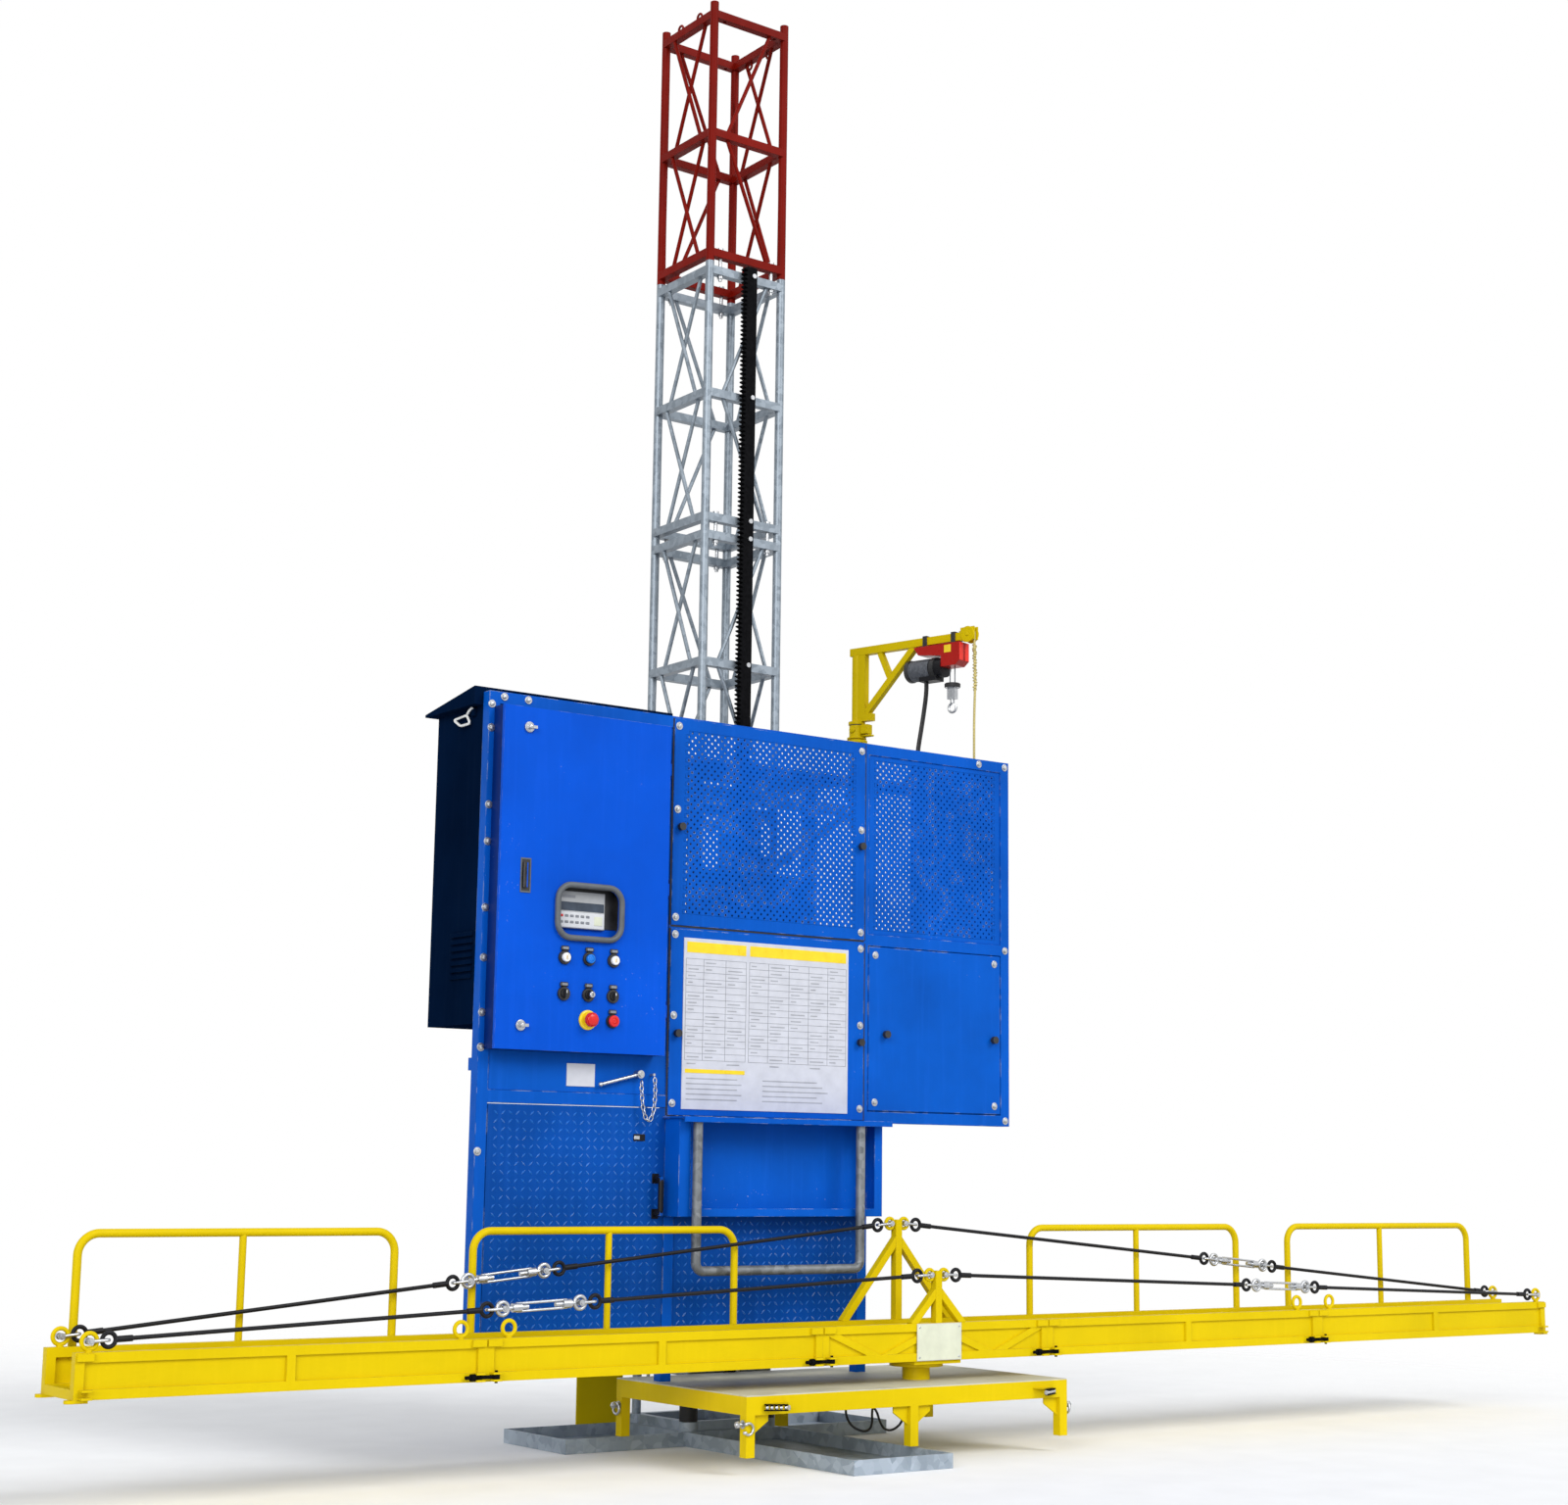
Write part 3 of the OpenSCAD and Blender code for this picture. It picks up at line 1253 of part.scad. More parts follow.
module turnbuckle(k) {
    h = tb_len / 2;
    end = 22;
    color("silver") on_stay(k) translate([tb_at * stay_len(k), 0, 0]) difference() {
        union() {
            for (s = [-1, 1]) rod_x(s * h - end, s * h + end, 0, 0, tb_boss);
            for (s = [-1, 1]) rod_x(-h, h, 0, s * (screw_d / 2 + tb_bar / 2 + 1), tb_bar);
        }
        rod_x(-h - 2 * end, h + 2 * end, 0, 0, screw_d + 2 * run_gap);
    }
}
module turnbuckle_1() { turnbuckle(0); }
module turnbuckle_2() { turnbuckle(1); }
module turnbuckle_3() { turnbuckle(2); }
module turnbuckle_4() { turnbuckle(3); }

// swing bolts through the lugs at the four beam joints
module joint_bolts() {
    m = 20 + lug_w / 2;
    z = beam_z + 11 + (swing_d + 1) / 2;
    color("black") for (x = [x_mid0 - left_len, x_mid0, x_mid1, x_mid1 + right_len])
        for (y = [beam_front - lug_t / 2, beam_back + lug_t / 2]) {
            rod_x(x - 112, x + m, y, z, swing_d - 4);
            rod_x(x - 42 - lug_w, x - 20 - lug_w - 2 * joint_gap, y, z, swing_d + 12);
            rod_z(x + m, y, z - swing_d / 2, z + swing_d / 2, swing_d + 12);
            rod_z(x + m, y, beam_z - 6, beam_z + swing_d + 29, swing_pin);
        }
}

// jib: made along +X at the post and turned to its rest angle
module at_jib() {
    translate([jib_x, jib_y, 0]) rotate([0, 0, jib_angle]) children();
}
tip_z = jib_z + arm_h / 2 + 6;
module jib_arm() {
    h = jib_z;
    color("gold") at_jib() {
        rod_z(0, 0, ring_high - 30, h + 2, jib_tube);
        rod_z(0, 0, socket_top + free_gap, socket_top + 18, jib_tube + 40);
        bx(-40, jib_reach - tip_d / 2 - 6, -arm_w / 2, arm_w / 2, h, h + arm_h);
        bx(22, 72, -20, 20, socket_top + 16, h + 1);
        bar_xz(60, socket_top + 50, 430, h + 10, -18, 18, 38);
        bar_xz(250, h - 165, 170, h + 10, -16, 16, 32);
        bx(60, 120, -20, 20, socket_top + 16, socket_top + 60);
        for (s = [-1, 1]) bx(jib_reach - 50, jib_reach + 45, s > 0 ? tip_w / 2 + 1 : -tip_w / 2 - 9,
            s > 0 ? tip_w / 2 + 9 : -tip_w / 2 - 1, h - 4, h + arm_h + 26);
        rod_y(jib_reach, -tip_w / 2 - 12, tip_w / 2 + 12, tip_z, 14);
    }
}
module tip_pulley() {
    color("gold") at_jib() translate([jib_reach, 0, tip_z]) rotate([90, 0, 0]) rotate_extrude()
        polygon([[7 + run_gap, -tip_w / 2], [tip_d / 2, -tip_w / 2], [tip_d / 2 - 10, -4],
            [tip_d / 2 - 10, 4], [tip_d / 2, tip_w / 2], [7 + run_gap, tip_w / 2]]);
}
// hoist: red housing strapped under the arm, motor under its back half
module hoist_body() {
    h = jib_z;
    color("red") at_jib() {
        translate([0, 48, 0]) rotate([90, 0, 0]) linear_extrude(96)
            polygon([[446, h - 12], [770, h - 12], [770, h - 120], [740, h - 145], [640, h - 145],
                [640, h - 80], [480, h - 60]]);
        for (x = [500, 700]) {
            for (y = [-arm_w / 2 - 4, arm_w / 2]) bx(x, x + 24, y, y + 4, h - 13, h + arm_h + 4);
            bx(x, x + 24, -arm_w / 2 - 4, arm_w / 2 + 4, h + arm_h, h + arm_h + 4);
        }
    }
}
module hoist_motor() {
    z = jib_z - motor_drop;
    color("black") at_jib() {
        rod_x(400, 640, 0, z, 116);
        rod_x(386, 402, 0, z, 100);
        bx(480, 600, -40, 40, z - box_drop, z - 40);
    }
}
module hoist_rope() {
    color("silver") at_jib() for (s = [-1, 1])
        rod_z(drop_at + s * rope_gap / 2, 0, hook_top, rope_top + 5, rope_d);
}
module hook_block() {
    z = hook_top;
    color("silver") at_jib() translate([drop_at, 0, 0]) {
        rod_z(0, 0, z - 22, z, 84);
        bx(-26, 26, -17, 17, z - 90, z - 20);
        rod_z(0, 0, z - 112, z - 88, 26);
        translate([0, 0, z - 140]) rotate([90, 0, 0]) rotate([0, 0, 100]) rotate_extrude(angle = 290)
            translate([26, 0]) circle(d = 15);
    }
}
module tag_rope() {
    color("khaki") at_jib() translate([jib_reach, 0, tip_z]) cord(tag_rope_pts, tag_rope_d);
}
module hoist_cable() {
    color("black") at_jib() for (s = [-1, 1])
        translate([520, s * 10 - 20, jib_z - motor_drop - box_drop]) cord(hoist_cable_pts, hoist_cable_d);
}

base_outriggers();
base_foot();
foot_collars();
cable_guard();
mast_sections();
mast_top();
rack();
mast_bolts();
carriage_frame();
drive_unit();
house_frame();
side_box();
control_box();
control_gear();
house_panels();
cover_knobs();
notice_plates();
tray_box();
step_bar();
house_bolts();
deck_frame();
deck_plate();
deck_fittings();
deck_cable();
beam_middle();
beam_arms();
guard_rails();
king_posts();
stay_rods();
stay_links();
joint_bolts();
drive_pinion();
roller_left();
roller_right();
roller_back();
jib_arm();
hoist_body();
hoist_motor();
hoist_rope();
hook_block();
tip_pulley();
tag_rope();
hoist_cable();
control_door();
lock_1();
lock_2();
tread_door();
stop_button();
button_1();
button_2();
button_3();
button_4();
selector_1();
selector_2();
selector_3();
brake_lever();
turnbuckle_1();
turnbuckle_2();
turnbuckle_3();
turnbuckle_4();
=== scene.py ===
"""Looks of the material hoist: camera, light, materials and the small pieces laid over the CAD frame."""

import json
import math

import bpy
from mathutils import Matrix, Vector


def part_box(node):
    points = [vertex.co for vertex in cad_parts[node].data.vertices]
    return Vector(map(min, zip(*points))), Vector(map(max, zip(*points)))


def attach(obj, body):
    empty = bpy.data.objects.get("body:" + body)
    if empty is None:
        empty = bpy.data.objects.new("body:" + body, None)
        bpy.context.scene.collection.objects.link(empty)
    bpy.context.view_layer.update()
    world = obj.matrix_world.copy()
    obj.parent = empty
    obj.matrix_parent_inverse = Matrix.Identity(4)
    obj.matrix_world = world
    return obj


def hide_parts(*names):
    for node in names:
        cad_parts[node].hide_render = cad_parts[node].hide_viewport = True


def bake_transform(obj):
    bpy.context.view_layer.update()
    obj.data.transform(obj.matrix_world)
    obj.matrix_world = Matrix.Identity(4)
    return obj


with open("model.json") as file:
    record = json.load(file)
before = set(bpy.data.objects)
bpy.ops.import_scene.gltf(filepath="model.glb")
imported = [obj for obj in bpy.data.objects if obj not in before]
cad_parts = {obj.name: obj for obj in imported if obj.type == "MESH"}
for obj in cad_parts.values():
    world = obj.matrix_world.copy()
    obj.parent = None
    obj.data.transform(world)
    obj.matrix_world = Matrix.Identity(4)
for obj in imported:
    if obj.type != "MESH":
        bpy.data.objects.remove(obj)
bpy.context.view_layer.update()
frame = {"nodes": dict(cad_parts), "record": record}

scene = bpy.context.scene
nodes = frame["nodes"]

# camera, worked out from the mast, deck and house edges of the photo
PHOTO_W = 1600
SENSOR = 36
FOCAL_PX = 2495.03
YAW, PITCH, ROLL = 0.63403, 0.16787, 0.01287
EYE = (-7.5267, -10.8994, 1.4059)
fwd = Vector((math.sin(YAW) * math.cos(PITCH), math.cos(YAW) * math.cos(PITCH), math.sin(PITCH)))
flat = Vector((math.cos(YAW), -math.sin(YAW), 0))
rise = flat.cross(fwd)
right = math.cos(ROLL) * flat + math.sin(ROLL) * rise
up = -math.sin(ROLL) * flat + math.cos(ROLL) * rise
cam = bpy.data.cameras.new("camera")
cam.sensor_fit = "HORIZONTAL"
cam.sensor_width = SENSOR
cam.lens = FOCAL_PX / PHOTO_W * SENSOR
cam.clip_end = 200
cam_obj = bpy.data.objects.new("camera", cam)
scene.collection.objects.link(cam_obj)
place = Matrix.Identity(4)
for k in range(3):
    place[k][0], place[k][1], place[k][2] = right[k], up[k], -fwd[k]
place.translation = EYE
cam_obj.matrix_world = place
scene.camera = cam_obj
scene.view_settings.view_transform = "Standard"

# material helpers: every material is made from nodes over the object's own coordinates, and kept by name
M = {}


def new_mat(name):
    mat = bpy.data.materials.new(name)
    mat.use_nodes = True
    mat.node_tree.nodes.clear()
    M[name] = mat
    return mat.node_tree


def node(nt, kind, ins=None, **props):
    n = nt.nodes.new(kind)
    for k, v in props.items():
        setattr(n, k, v)
    for k, v in (ins or {}).items():
        if isinstance(v, bpy.types.NodeSocket):
            nt.links.new(v, n.inputs[k])
        else:
            n.inputs[k].default_value = v
    return n


def own_place(nt):
    return node(nt, "ShaderNodeTexCoord").outputs["Object"]


def noise(nt, co, scale, detail=4.0, rough=0.55):
    ins = {"Vector": co, "Scale": scale, "Detail": detail, "Roughness": rough}
    return node(nt, "ShaderNodeTexNoise", ins).outputs["Fac"]


def remap(nt, value, a, b, lo=0.0, hi=1.0):
    ins = {"Value": value, "From Min": a, "From Max": b, "To Min": lo, "To Max": hi}
    return node(nt, "ShaderNodeMapRange", ins).outputs["Result"]


def times(nt, a, b):
    return node(nt, "ShaderNodeMath", {0: a, 1: b}, operation="MULTIPLY").outputs[0]


def most(nt, a, b):
    return node(nt, "ShaderNodeMath", {0: a, 1: b}, operation="MAXIMUM").outputs[0]


def mix(nt, fac, a, b):
    n = node(nt, "ShaderNodeMix", {0: fac}, data_type="RGBA")
    for i, v in ((6, a), (7, b)):
        if isinstance(v, bpy.types.NodeSocket):
            nt.links.new(v, n.inputs[i])
        else:
            n.inputs[i].default_value = (*v, 1)
    return n.outputs[2]


def stretched(nt, co, scale):
    return node(nt, "ShaderNodeMapping", {"Vector": co, "Scale": scale}).outputs[0]


def tone(rgb, f, add=0.0):
    return tuple(min(1.0, c * f + add) for c in rgb)


def bumped(nt, height, strength, distance, under=None):
    ins = {"Height": height, "Strength": strength, "Distance": distance}
    if under is not None:
        ins["Normal"] = under
    return node(nt, "ShaderNodeBump", ins).outputs[0]


def close(nt, color, rough, metal, normal, spec):
    b = node(nt, "ShaderNodeBsdfPrincipled", {"Base Color": color, "Roughness": rough, "Metallic": metal,
                                              "Specular IOR Level": spec, "Normal": normal})
    node(nt, "ShaderNodeOutputMaterial", {0: b.outputs[0]})


def paint(name, rgb, rough, vary, streak, chip, under=(0.30, 0.31, 0.33), spec=0.07, edge=0.003):
    """Paint with pale runs, and chips down to the colour under it on edges and in specks."""
    nt = new_mat(name)
    co = own_place(nt)
    big = noise(nt, co, scale=1.7, detail=5.0, rough=0.6)
    mid = noise(nt, co, scale=11.0, detail=5.0, rough=0.6)
    fine = noise(nt, co, scale=75.0, detail=3.0)
    runs = noise(nt, stretched(nt, co, (34.0, 34.0, 1.6)), scale=1.0)
    color = mix(nt, remap(nt, big, 0.32, 0.68), tone(rgb, 1 - vary), tone(rgb, 1 + 0.5 * vary))
    color = mix(nt, remap(nt, runs, 0.52, 0.78, 0.0, streak), color, tone(rgb, 1.2, 0.006))
    round_n = node(nt, "ShaderNodeBevel", {"Radius": edge}, samples=4).outputs[0]
    flat_n = node(nt, "ShaderNodeNewGeometry").outputs["Normal"]
    same = node(nt, "ShaderNodeVectorMath", {0: round_n, 1: flat_n}, operation="DOT_PRODUCT")
    worn = times(nt, remap(nt, same.outputs["Value"], 0.985, 0.90), remap(nt, mid, 0.50, 0.60))
    specks = times(nt, remap(nt, fine, 0.70, 0.73), remap(nt, big, 0.54, 0.64))
    color = mix(nt, times(nt, most(nt, worn, specks), chip), color, under)
    shine = remap(nt, mid, 0.3, 0.7, rough - 0.06, rough + 0.10)
    normal = bumped(nt, noise(nt, co, scale=240.0, detail=2.0), 0.05, 0.0006, round_n)
    close(nt, color, shine, 0.0, normal, spec)


def zinc(name, lo, hi, rough=0.46, metal=0.6, cell=34.0):
    """Zinc coat with its crystals and dull patches."""
    nt = new_mat(name)
    co = own_place(nt)
    cells = node(nt, "ShaderNodeTexVoronoi", {"Vector": co, "Scale": cell}).outputs["Color"]
    grey = node(nt, "ShaderNodeRGBToBW", {0: cells}).outputs[0]
    big = noise(nt, co, scale=2.4, detail=6.0, rough=0.65)
    color = mix(nt, remap(nt, grey, 0.1, 0.9), lo, hi)
    color = mix(nt, remap(nt, big, 0.52, 0.72, 0.0, 0.55), color, tone(lo, 0.72))
    shine = remap(nt, grey, 0.0, 1.0, rough - 0.08, rough + 0.10)
    normal = bumped(nt, noise(nt, co, scale=130.0, detail=3.0), 0.06, 0.0008)
    close(nt, color, shine, metal, normal, 0.5)


def bare_metal(name, lo, hi, rough=0.28, metal=0.9, grime=0.3, spec=0.5):
    nt = new_mat(name)
    co = own_place(nt)
    fine = noise(nt, co, scale=60.0, detail=5.0, rough=0.6)
    big = noise(nt, co, scale=6.0, detail=5.0, rough=0.6)
    color = mix(nt, remap(nt, fine, 0.3, 0.7), lo, hi)
    color = mix(nt, remap(nt, big, 0.5, 0.75, 0.0, grime), color, tone(lo, 0.45))
    shine = remap(nt, big, 0.3, 0.7, rough - 0.06, rough + 0.14)
    close(nt, color, shine, metal, bumped(nt, fine, 0.05, 0.0006), spec)


def plastic(name, rgb, rough, vary, spec=0.45, grain=300.0):
    nt = new_mat(name)
    co = own_place(nt)
    big = noise(nt, co, scale=14.0)
    fine = noise(nt, co, scale=grain, detail=2.0)
    color = mix(nt, remap(nt, big, 0.3, 0.7), tone(rgb, 1 - vary), tone(rgb, 1 + vary, 0.004))
    shine = remap(nt, big, 0.3, 0.7, rough - 0.05, rough + 0.10)
    close(nt, color, shine, 0.0, bumped(nt, fine, 0.06, 0.0004), spec)


def laid_rope(name, rgb):
    """Rope whose strands show as slanting bands."""
    nt = new_mat(name)
    co = own_place(nt)
    bands = {"Vector": stretched(nt, co, (1.0, 1.0, 1.6)), "Scale": 46.0, "Distortion": 0.6, "Detail": 2.0}
    lay = node(nt, "ShaderNodeTexWave", bands, bands_direction="DIAGONAL").outputs["Fac"]
    fine = noise(nt, co, scale=420.0, detail=2.0)
    color = mix(nt, remap(nt, lay, 0.15, 0.7), tone(rgb, 0.55), rgb)
    color = mix(nt, remap(nt, fine, 0.55, 0.75, 0.0, 0.4), color, tone(rgb, 1.0, 0.12))
    close(nt, color, 0.8, 0.0, bumped(nt, lay, 0.7, 0.002), 0.2)


def checker_plate(name, rgb):
    """Worn deck plate with a slanting pattern of raised cells."""
    nt = new_mat(name)
    co = own_place(nt)
    turn = {"Vector": co, "Rotation": (0.0, 0.0, math.radians(45)), "Scale": (1.0, 1.0, 0.05)}
    grid = {"Vector": node(nt, "ShaderNodeMapping", turn).outputs[0], "Scale": 30.0, "Randomness": 0.0}
    cells = node(nt, "ShaderNodeTexVoronoi", grid, distance="CHEBYCHEV").outputs["Distance"]
    big = noise(nt, co, scale=3.2, detail=6.0, rough=0.65)
    fine = noise(nt, co, scale=40.0)
    color = mix(nt, remap(nt, cells, 0.30, 0.36), tone(rgb, 0.62), rgb)
    color = mix(nt, remap(nt, big, 0.48, 0.70, 0.0, 0.6), color, tone(rgb, 0.55))
    color = mix(nt, remap(nt, fine, 0.60, 0.72, 0.0, 0.35), color, tone(rgb, 1.25))
    close(nt, color, 0.62, 0.15, bumped(nt, remap(nt, cells, 0.28, 0.38), 0.6, 0.002), 0.3)


# paints
BARE = (0.36, 0.42, 0.50)
paint("blue_paint", (0.0004, 0.078, 0.570), rough=0.42, vary=0.12, streak=0.25, chip=0.55, under=BARE)
paint("blue_panel", (0.0010, 0.088, 0.480), rough=0.46, vary=0.18, streak=0.35, chip=0.90, under=BARE,
      edge=0.006)
# darker blue of the tread door and the tray sheet: painted shade over the lower house
paint("blue_lower_shade", (0.0012, 0.062, 0.330), rough=0.50, vary=0.22, streak=0.40, chip=0.70, under=BARE)
# lighter, glossier blue of the raised tread marks: painted highlight on them
paint("tread_highlight_blue", (0.006, 0.120, 0.480), rough=0.40, vary=0.20, streak=0.40, chip=0.80, under=BARE,
      spec=0.25)
# dark blue of the control box: painted shade on its left side and underside
paint("box_shade_blue", (0.0006, 0.018, 0.140), rough=0.45, vary=0.2, streak=0.2, chip=0.35, under=BARE)
# near-black blue of the side box and its fittings: painted shade on its left faces
paint("navy_paint", (0.0014, 0.008, 0.030), rough=0.42, vary=0.25, streak=0.2, chip=0.30,
      under=(0.05, 0.08, 0.13), spec=0.0)
paint("machine_blue", (0.030, 0.075, 0.150), rough=0.45, vary=0.2, streak=0.1, chip=0.4)
paint("yellow_paint", (0.650, 0.478, 0.0008), rough=0.42, vary=0.08, streak=0.15, chip=0.50,
      under=(0.20, 0.15, 0.03))
paint("dark_red_paint", (0.190, 0.0048, 0.0010), rough=0.48, vary=0.20, streak=0.2, chip=0.35,
      under=(0.10, 0.05, 0.04))
paint("red_paint", (0.400, 0.010, 0.006), rough=0.28, vary=0.10, streak=0.1, chip=0.3,
      under=(0.20, 0.05, 0.04), spec=0.2)
# brighter red of the hoist's front plates: painted light on the lit front, over the hoist red
paint("red_painted_light", (0.860, 0.040, 0.026), rough=0.30, vary=0.08, streak=0.1, chip=0.3,
      under=(0.30, 0.05, 0.04), spec=0.2)
paint("grey_paint", (0.115, 0.130, 0.150), rough=0.48, vary=0.2, streak=0.08, chip=0.4)
paint("charcoal_paint", (0.008, 0.008, 0.010), rough=0.42, vary=0.3, streak=0.2, chip=0.35,
      under=(0.14, 0.14, 0.14), spec=0.15)

# metals and rope
zinc("galvanised", (0.172, 0.205, 0.240), (0.290, 0.335, 0.380))
zinc("dark_zinc", (0.11, 0.12, 0.13), (0.24, 0.255, 0.27), rough=0.5, metal=0.4)
# base zinc: the base's own blue-grey, made lighter to paint light into the shade under the deck
zinc("base_zinc_painted_light", (0.235, 0.285, 0.335), (0.385, 0.440, 0.505), rough=0.55, metal=0.25, cell=24.0)
bare_metal("bright_steel", (0.38, 0.395, 0.41), (0.57, 0.58, 0.60))
bare_metal("dark_steel", (0.0015, 0.0015, 0.002), (0.006, 0.006, 0.007), rough=0.6, metal=0.0, grime=0.4,
           spec=0.03)
bare_metal("motor_grey", (0.085, 0.092, 0.105), (0.150, 0.160, 0.180), rough=0.45, metal=0.3)
bare_metal("brass", (0.42, 0.28, 0.07), (0.62, 0.44, 0.14), rough=0.3)
checker_plate("deck_steel", (0.56, 0.545, 0.43))
laid_rope("pale_rope", (0.70, 0.58, 0.22))

# plastics, rubber and blank plates
plastic("white_plate", (0.56, 0.57, 0.62), rough=0.45, vary=0.06, spec=0.2, grain=90.0)
plastic("plate_beige", (0.62, 0.64, 0.50), rough=0.4, vary=0.06, spec=0.35, grain=90.0)
plastic("black_rubber", (0.010, 0.010, 0.011), rough=0.55, vary=0.4, spec=0.35)
plastic("gasket", (0.085, 0.095, 0.105), rough=0.5, vary=0.2)
plastic("grey_plastic", (0.34, 0.35, 0.36), rough=0.45, vary=0.08)
plastic("panel_grey", (0.60, 0.61, 0.63), rough=0.4, vary=0.06)
plastic("white_plastic", (0.80, 0.80, 0.78), rough=0.25, vary=0.06)
plastic("blue_plastic", (0.008, 0.190, 0.720), rough=0.3, vary=0.12, spec=0.3)
plastic("red_plastic", (0.62, 0.010, 0.008), rough=0.24, vary=0.12)
plastic("yellow_plastic", (0.84, 0.60, 0.01), rough=0.3, vary=0.08)
plastic("black_plastic", (0.012, 0.012, 0.013), rough=0.38, vary=0.4)
plastic("lcd", (0.030, 0.045, 0.070), rough=0.12, vary=0.25)
plastic("entry_grey", (0.34, 0.35, 0.38), rough=0.5, vary=0.15)
plastic("print_grey", (0.20, 0.21, 0.23), rough=0.5, vary=0.15)

# looks of the CAD nodes: the material of their slot, apart from a few of their own
SLOT_OF = {p["node"]: p["material_slot"] for p in frame["record"]["subparts"]}
# control_box and tread_door take darker blues of painted shade, the base a lighter zinc of painted light
OWN_LOOK = {"step_bar": "dark_zinc", "base_outriggers": "base_zinc_painted_light", "base_foot": "base_zinc_painted_light",
            "tread_door": "blue_lower_shade", "control_box": "box_shade_blue"}
for name, obj in nodes.items():
    look = OWN_LOOK.get(name, SLOT_OF[name])
    if look == "blue_paint" and name != "control_door":
        look = "blue_panel"
    obj.data.materials.clear()
    obj.data.materials.append(M[look])

# shape helpers work in millimetres of the CAD frame, and laid-on pieces start OFF from the CAD face
MM = 0.001
OFF = 0.2
OUT = (0, -1, 0)
UP = (0, 0, 1)
LATHE_START = Vector((0.3, 0.2, 0.9))
SWEEP_START = Vector((0.21, 0.97, 0.13))


def circle(axis, n):
    """Points of a unit circle around an axis."""
    side = axis.cross(LATHE_START).normalized()
    other = axis.cross(side)
    angles = [2 * math.pi * k / n for k in range(n)]
    return [side * math.cos(a) + other * math.sin(a) for a in angles]


class Shape:
    """Mesh under construction: its material names, and the place that its points are turned to."""

    def __init__(self, mats, place=None):
        self.v, self.f, self.m, self.s = [], [], [], []
        self.mats = mats
        self.place = place

    def add(self, verts, faces, mat=None, smooth=False):
        n = len(self.v)
        for p in verts:
            p = Vector(p)
            self.v.append((self.place @ p if self.place else p) * MM)
        for f in faces:
            self.f.append([n + i for i in f])
            self.m.append(self.mats.index(mat or self.mats[0]))
            self.s.append(smooth)

    def box(self, x0, x1, y0, y1, z0, z1, mat=None, edge=1.0):
        """Box with all its edges and corners cut off by edge."""
        lo, hi = (x0, y0, z0), (x1, y1, z1)
        c = min(edge, (x1 - x0) / 2.5, (y1 - y0) / 2.5, (z1 - z0) / 2.5)
        ends = [(i, j, k) for i in (0, 1) for j in (0, 1) for k in (0, 1)]
        verts, index = [], {}
        for end in ends:
            for axis in range(3):
                cut = [0 if a == axis else (-c if e else c) for a, e in enumerate(end)]
                index[end, axis] = len(verts)
                verts.append([(hi if e else lo)[a] + cut[a] for a, e in enumerate(end)])
        faces = []
        for axis in range(3):
            u, w = (axis + 1) % 3, (axis + 2) % 3
            for e in (0, 1):
                ring = []
                for a, b in ((0, 0), (1, 0), (1, 1), (0, 1)):
                    end = [0, 0, 0]
                    end[axis], end[u], end[w] = e, a, b
                    ring.append(index[tuple(end), axis])
                faces.append(ring if e else ring[::-1])
            for a in (0, 1):
                for b in (0, 1):
                    e0, e1 = [0, 0, 0], [0, 0, 0]
                    e0[u], e0[w], e1[u], e1[w] = a, b, a, b
                    e1[axis] = 1
                    e0, e1 = tuple(e0), tuple(e1)
                    faces.append([index[e0, u], index[e1, u], index[e1, w], index[e0, w]])
        for end in ends:
            faces.append([index[end, 0], index[end, 1], index[end, 2]])
        self.add(verts, faces, mat)

    def plate(self, rect, y0, y1, mat=None, edge=1.0):
        """Box over a rectangle (x0, x1, z0, z1) that faces the front."""
        x0, x1, z0, z1 = rect
        self.box(x0, x1, y0, y1, z0, z1, mat, edge)

    def lathe(self, base, axis, profile, n=20, mat=None, smooth=True):
        """Profile of (radius, height) points turned about the axis, closed by two end caps."""
        faces = [list(range(n))[::-1], [(len(profile) - 1) * n + k for k in range(n)]]
        self.turned(base, axis, profile, n, faces, len(profile) - 1, mat, smooth)

    def ring(self, base, axis, profile, n=28, mat=None):
        """Closed profile turned about the axis, so that the middle stays open."""
        self.turned(base, axis, profile, n, [], len(profile), mat, False)

    def turned(self, base, axis, profile, n, faces, bands, mat, smooth):
        axis = Vector(axis).normalized()
        around = circle(axis, n)
        verts = [Vector(base) + axis * h + p * r for r, h in profile for p in around]
        for i in range(bands):
            j = (i + 1) % len(profile)
            for k in range(n):
                m = (k + 1) % n
                faces.append([i * n + k, i * n + m, j * n + m, j * n + k])
        self.add(verts, faces, mat, smooth)

    def sweep(self, pts, r, n=8, closed=False, smooth=True):
        """Round bar along the points."""
        pts = [Vector(p) for p in pts]
        count = len(pts)
        verts, faces = [], []
        side = None
        for i, p in enumerate(pts):
            if closed:
                t = pts[(i + 1) % count] - pts[i - 1]
            else:
                t = pts[min(i + 1, count - 1)] - pts[max(i - 1, 0)]
            t.normalize()
            if side is None:
                side = t.cross(SWEEP_START).normalized()
            side = (side - t * side.dot(t)).normalized()
            other = t.cross(side)
            for k in range(n):
                a = 2 * math.pi * (k + 0.5) / n
                verts.append(p + side * (math.cos(a) * r) + other * (math.sin(a) * r))
        for i in range(count if closed else count - 1):
            j = (i + 1) % count
            for k in range(n):
                m = (k + 1) % n
                faces.append([i * n + k, j * n + k, j * n + m, i * n + m])
        if not closed:
            faces.append(list(range(n)))
            faces.append([(count - 1) * n + k for k in range(n)][::-1])
        self.add(verts, faces, None, smooth)

    def quad(self, a, b, c, d):
        self.add([a, b, c, d], [[0, 1, 2, 3]])

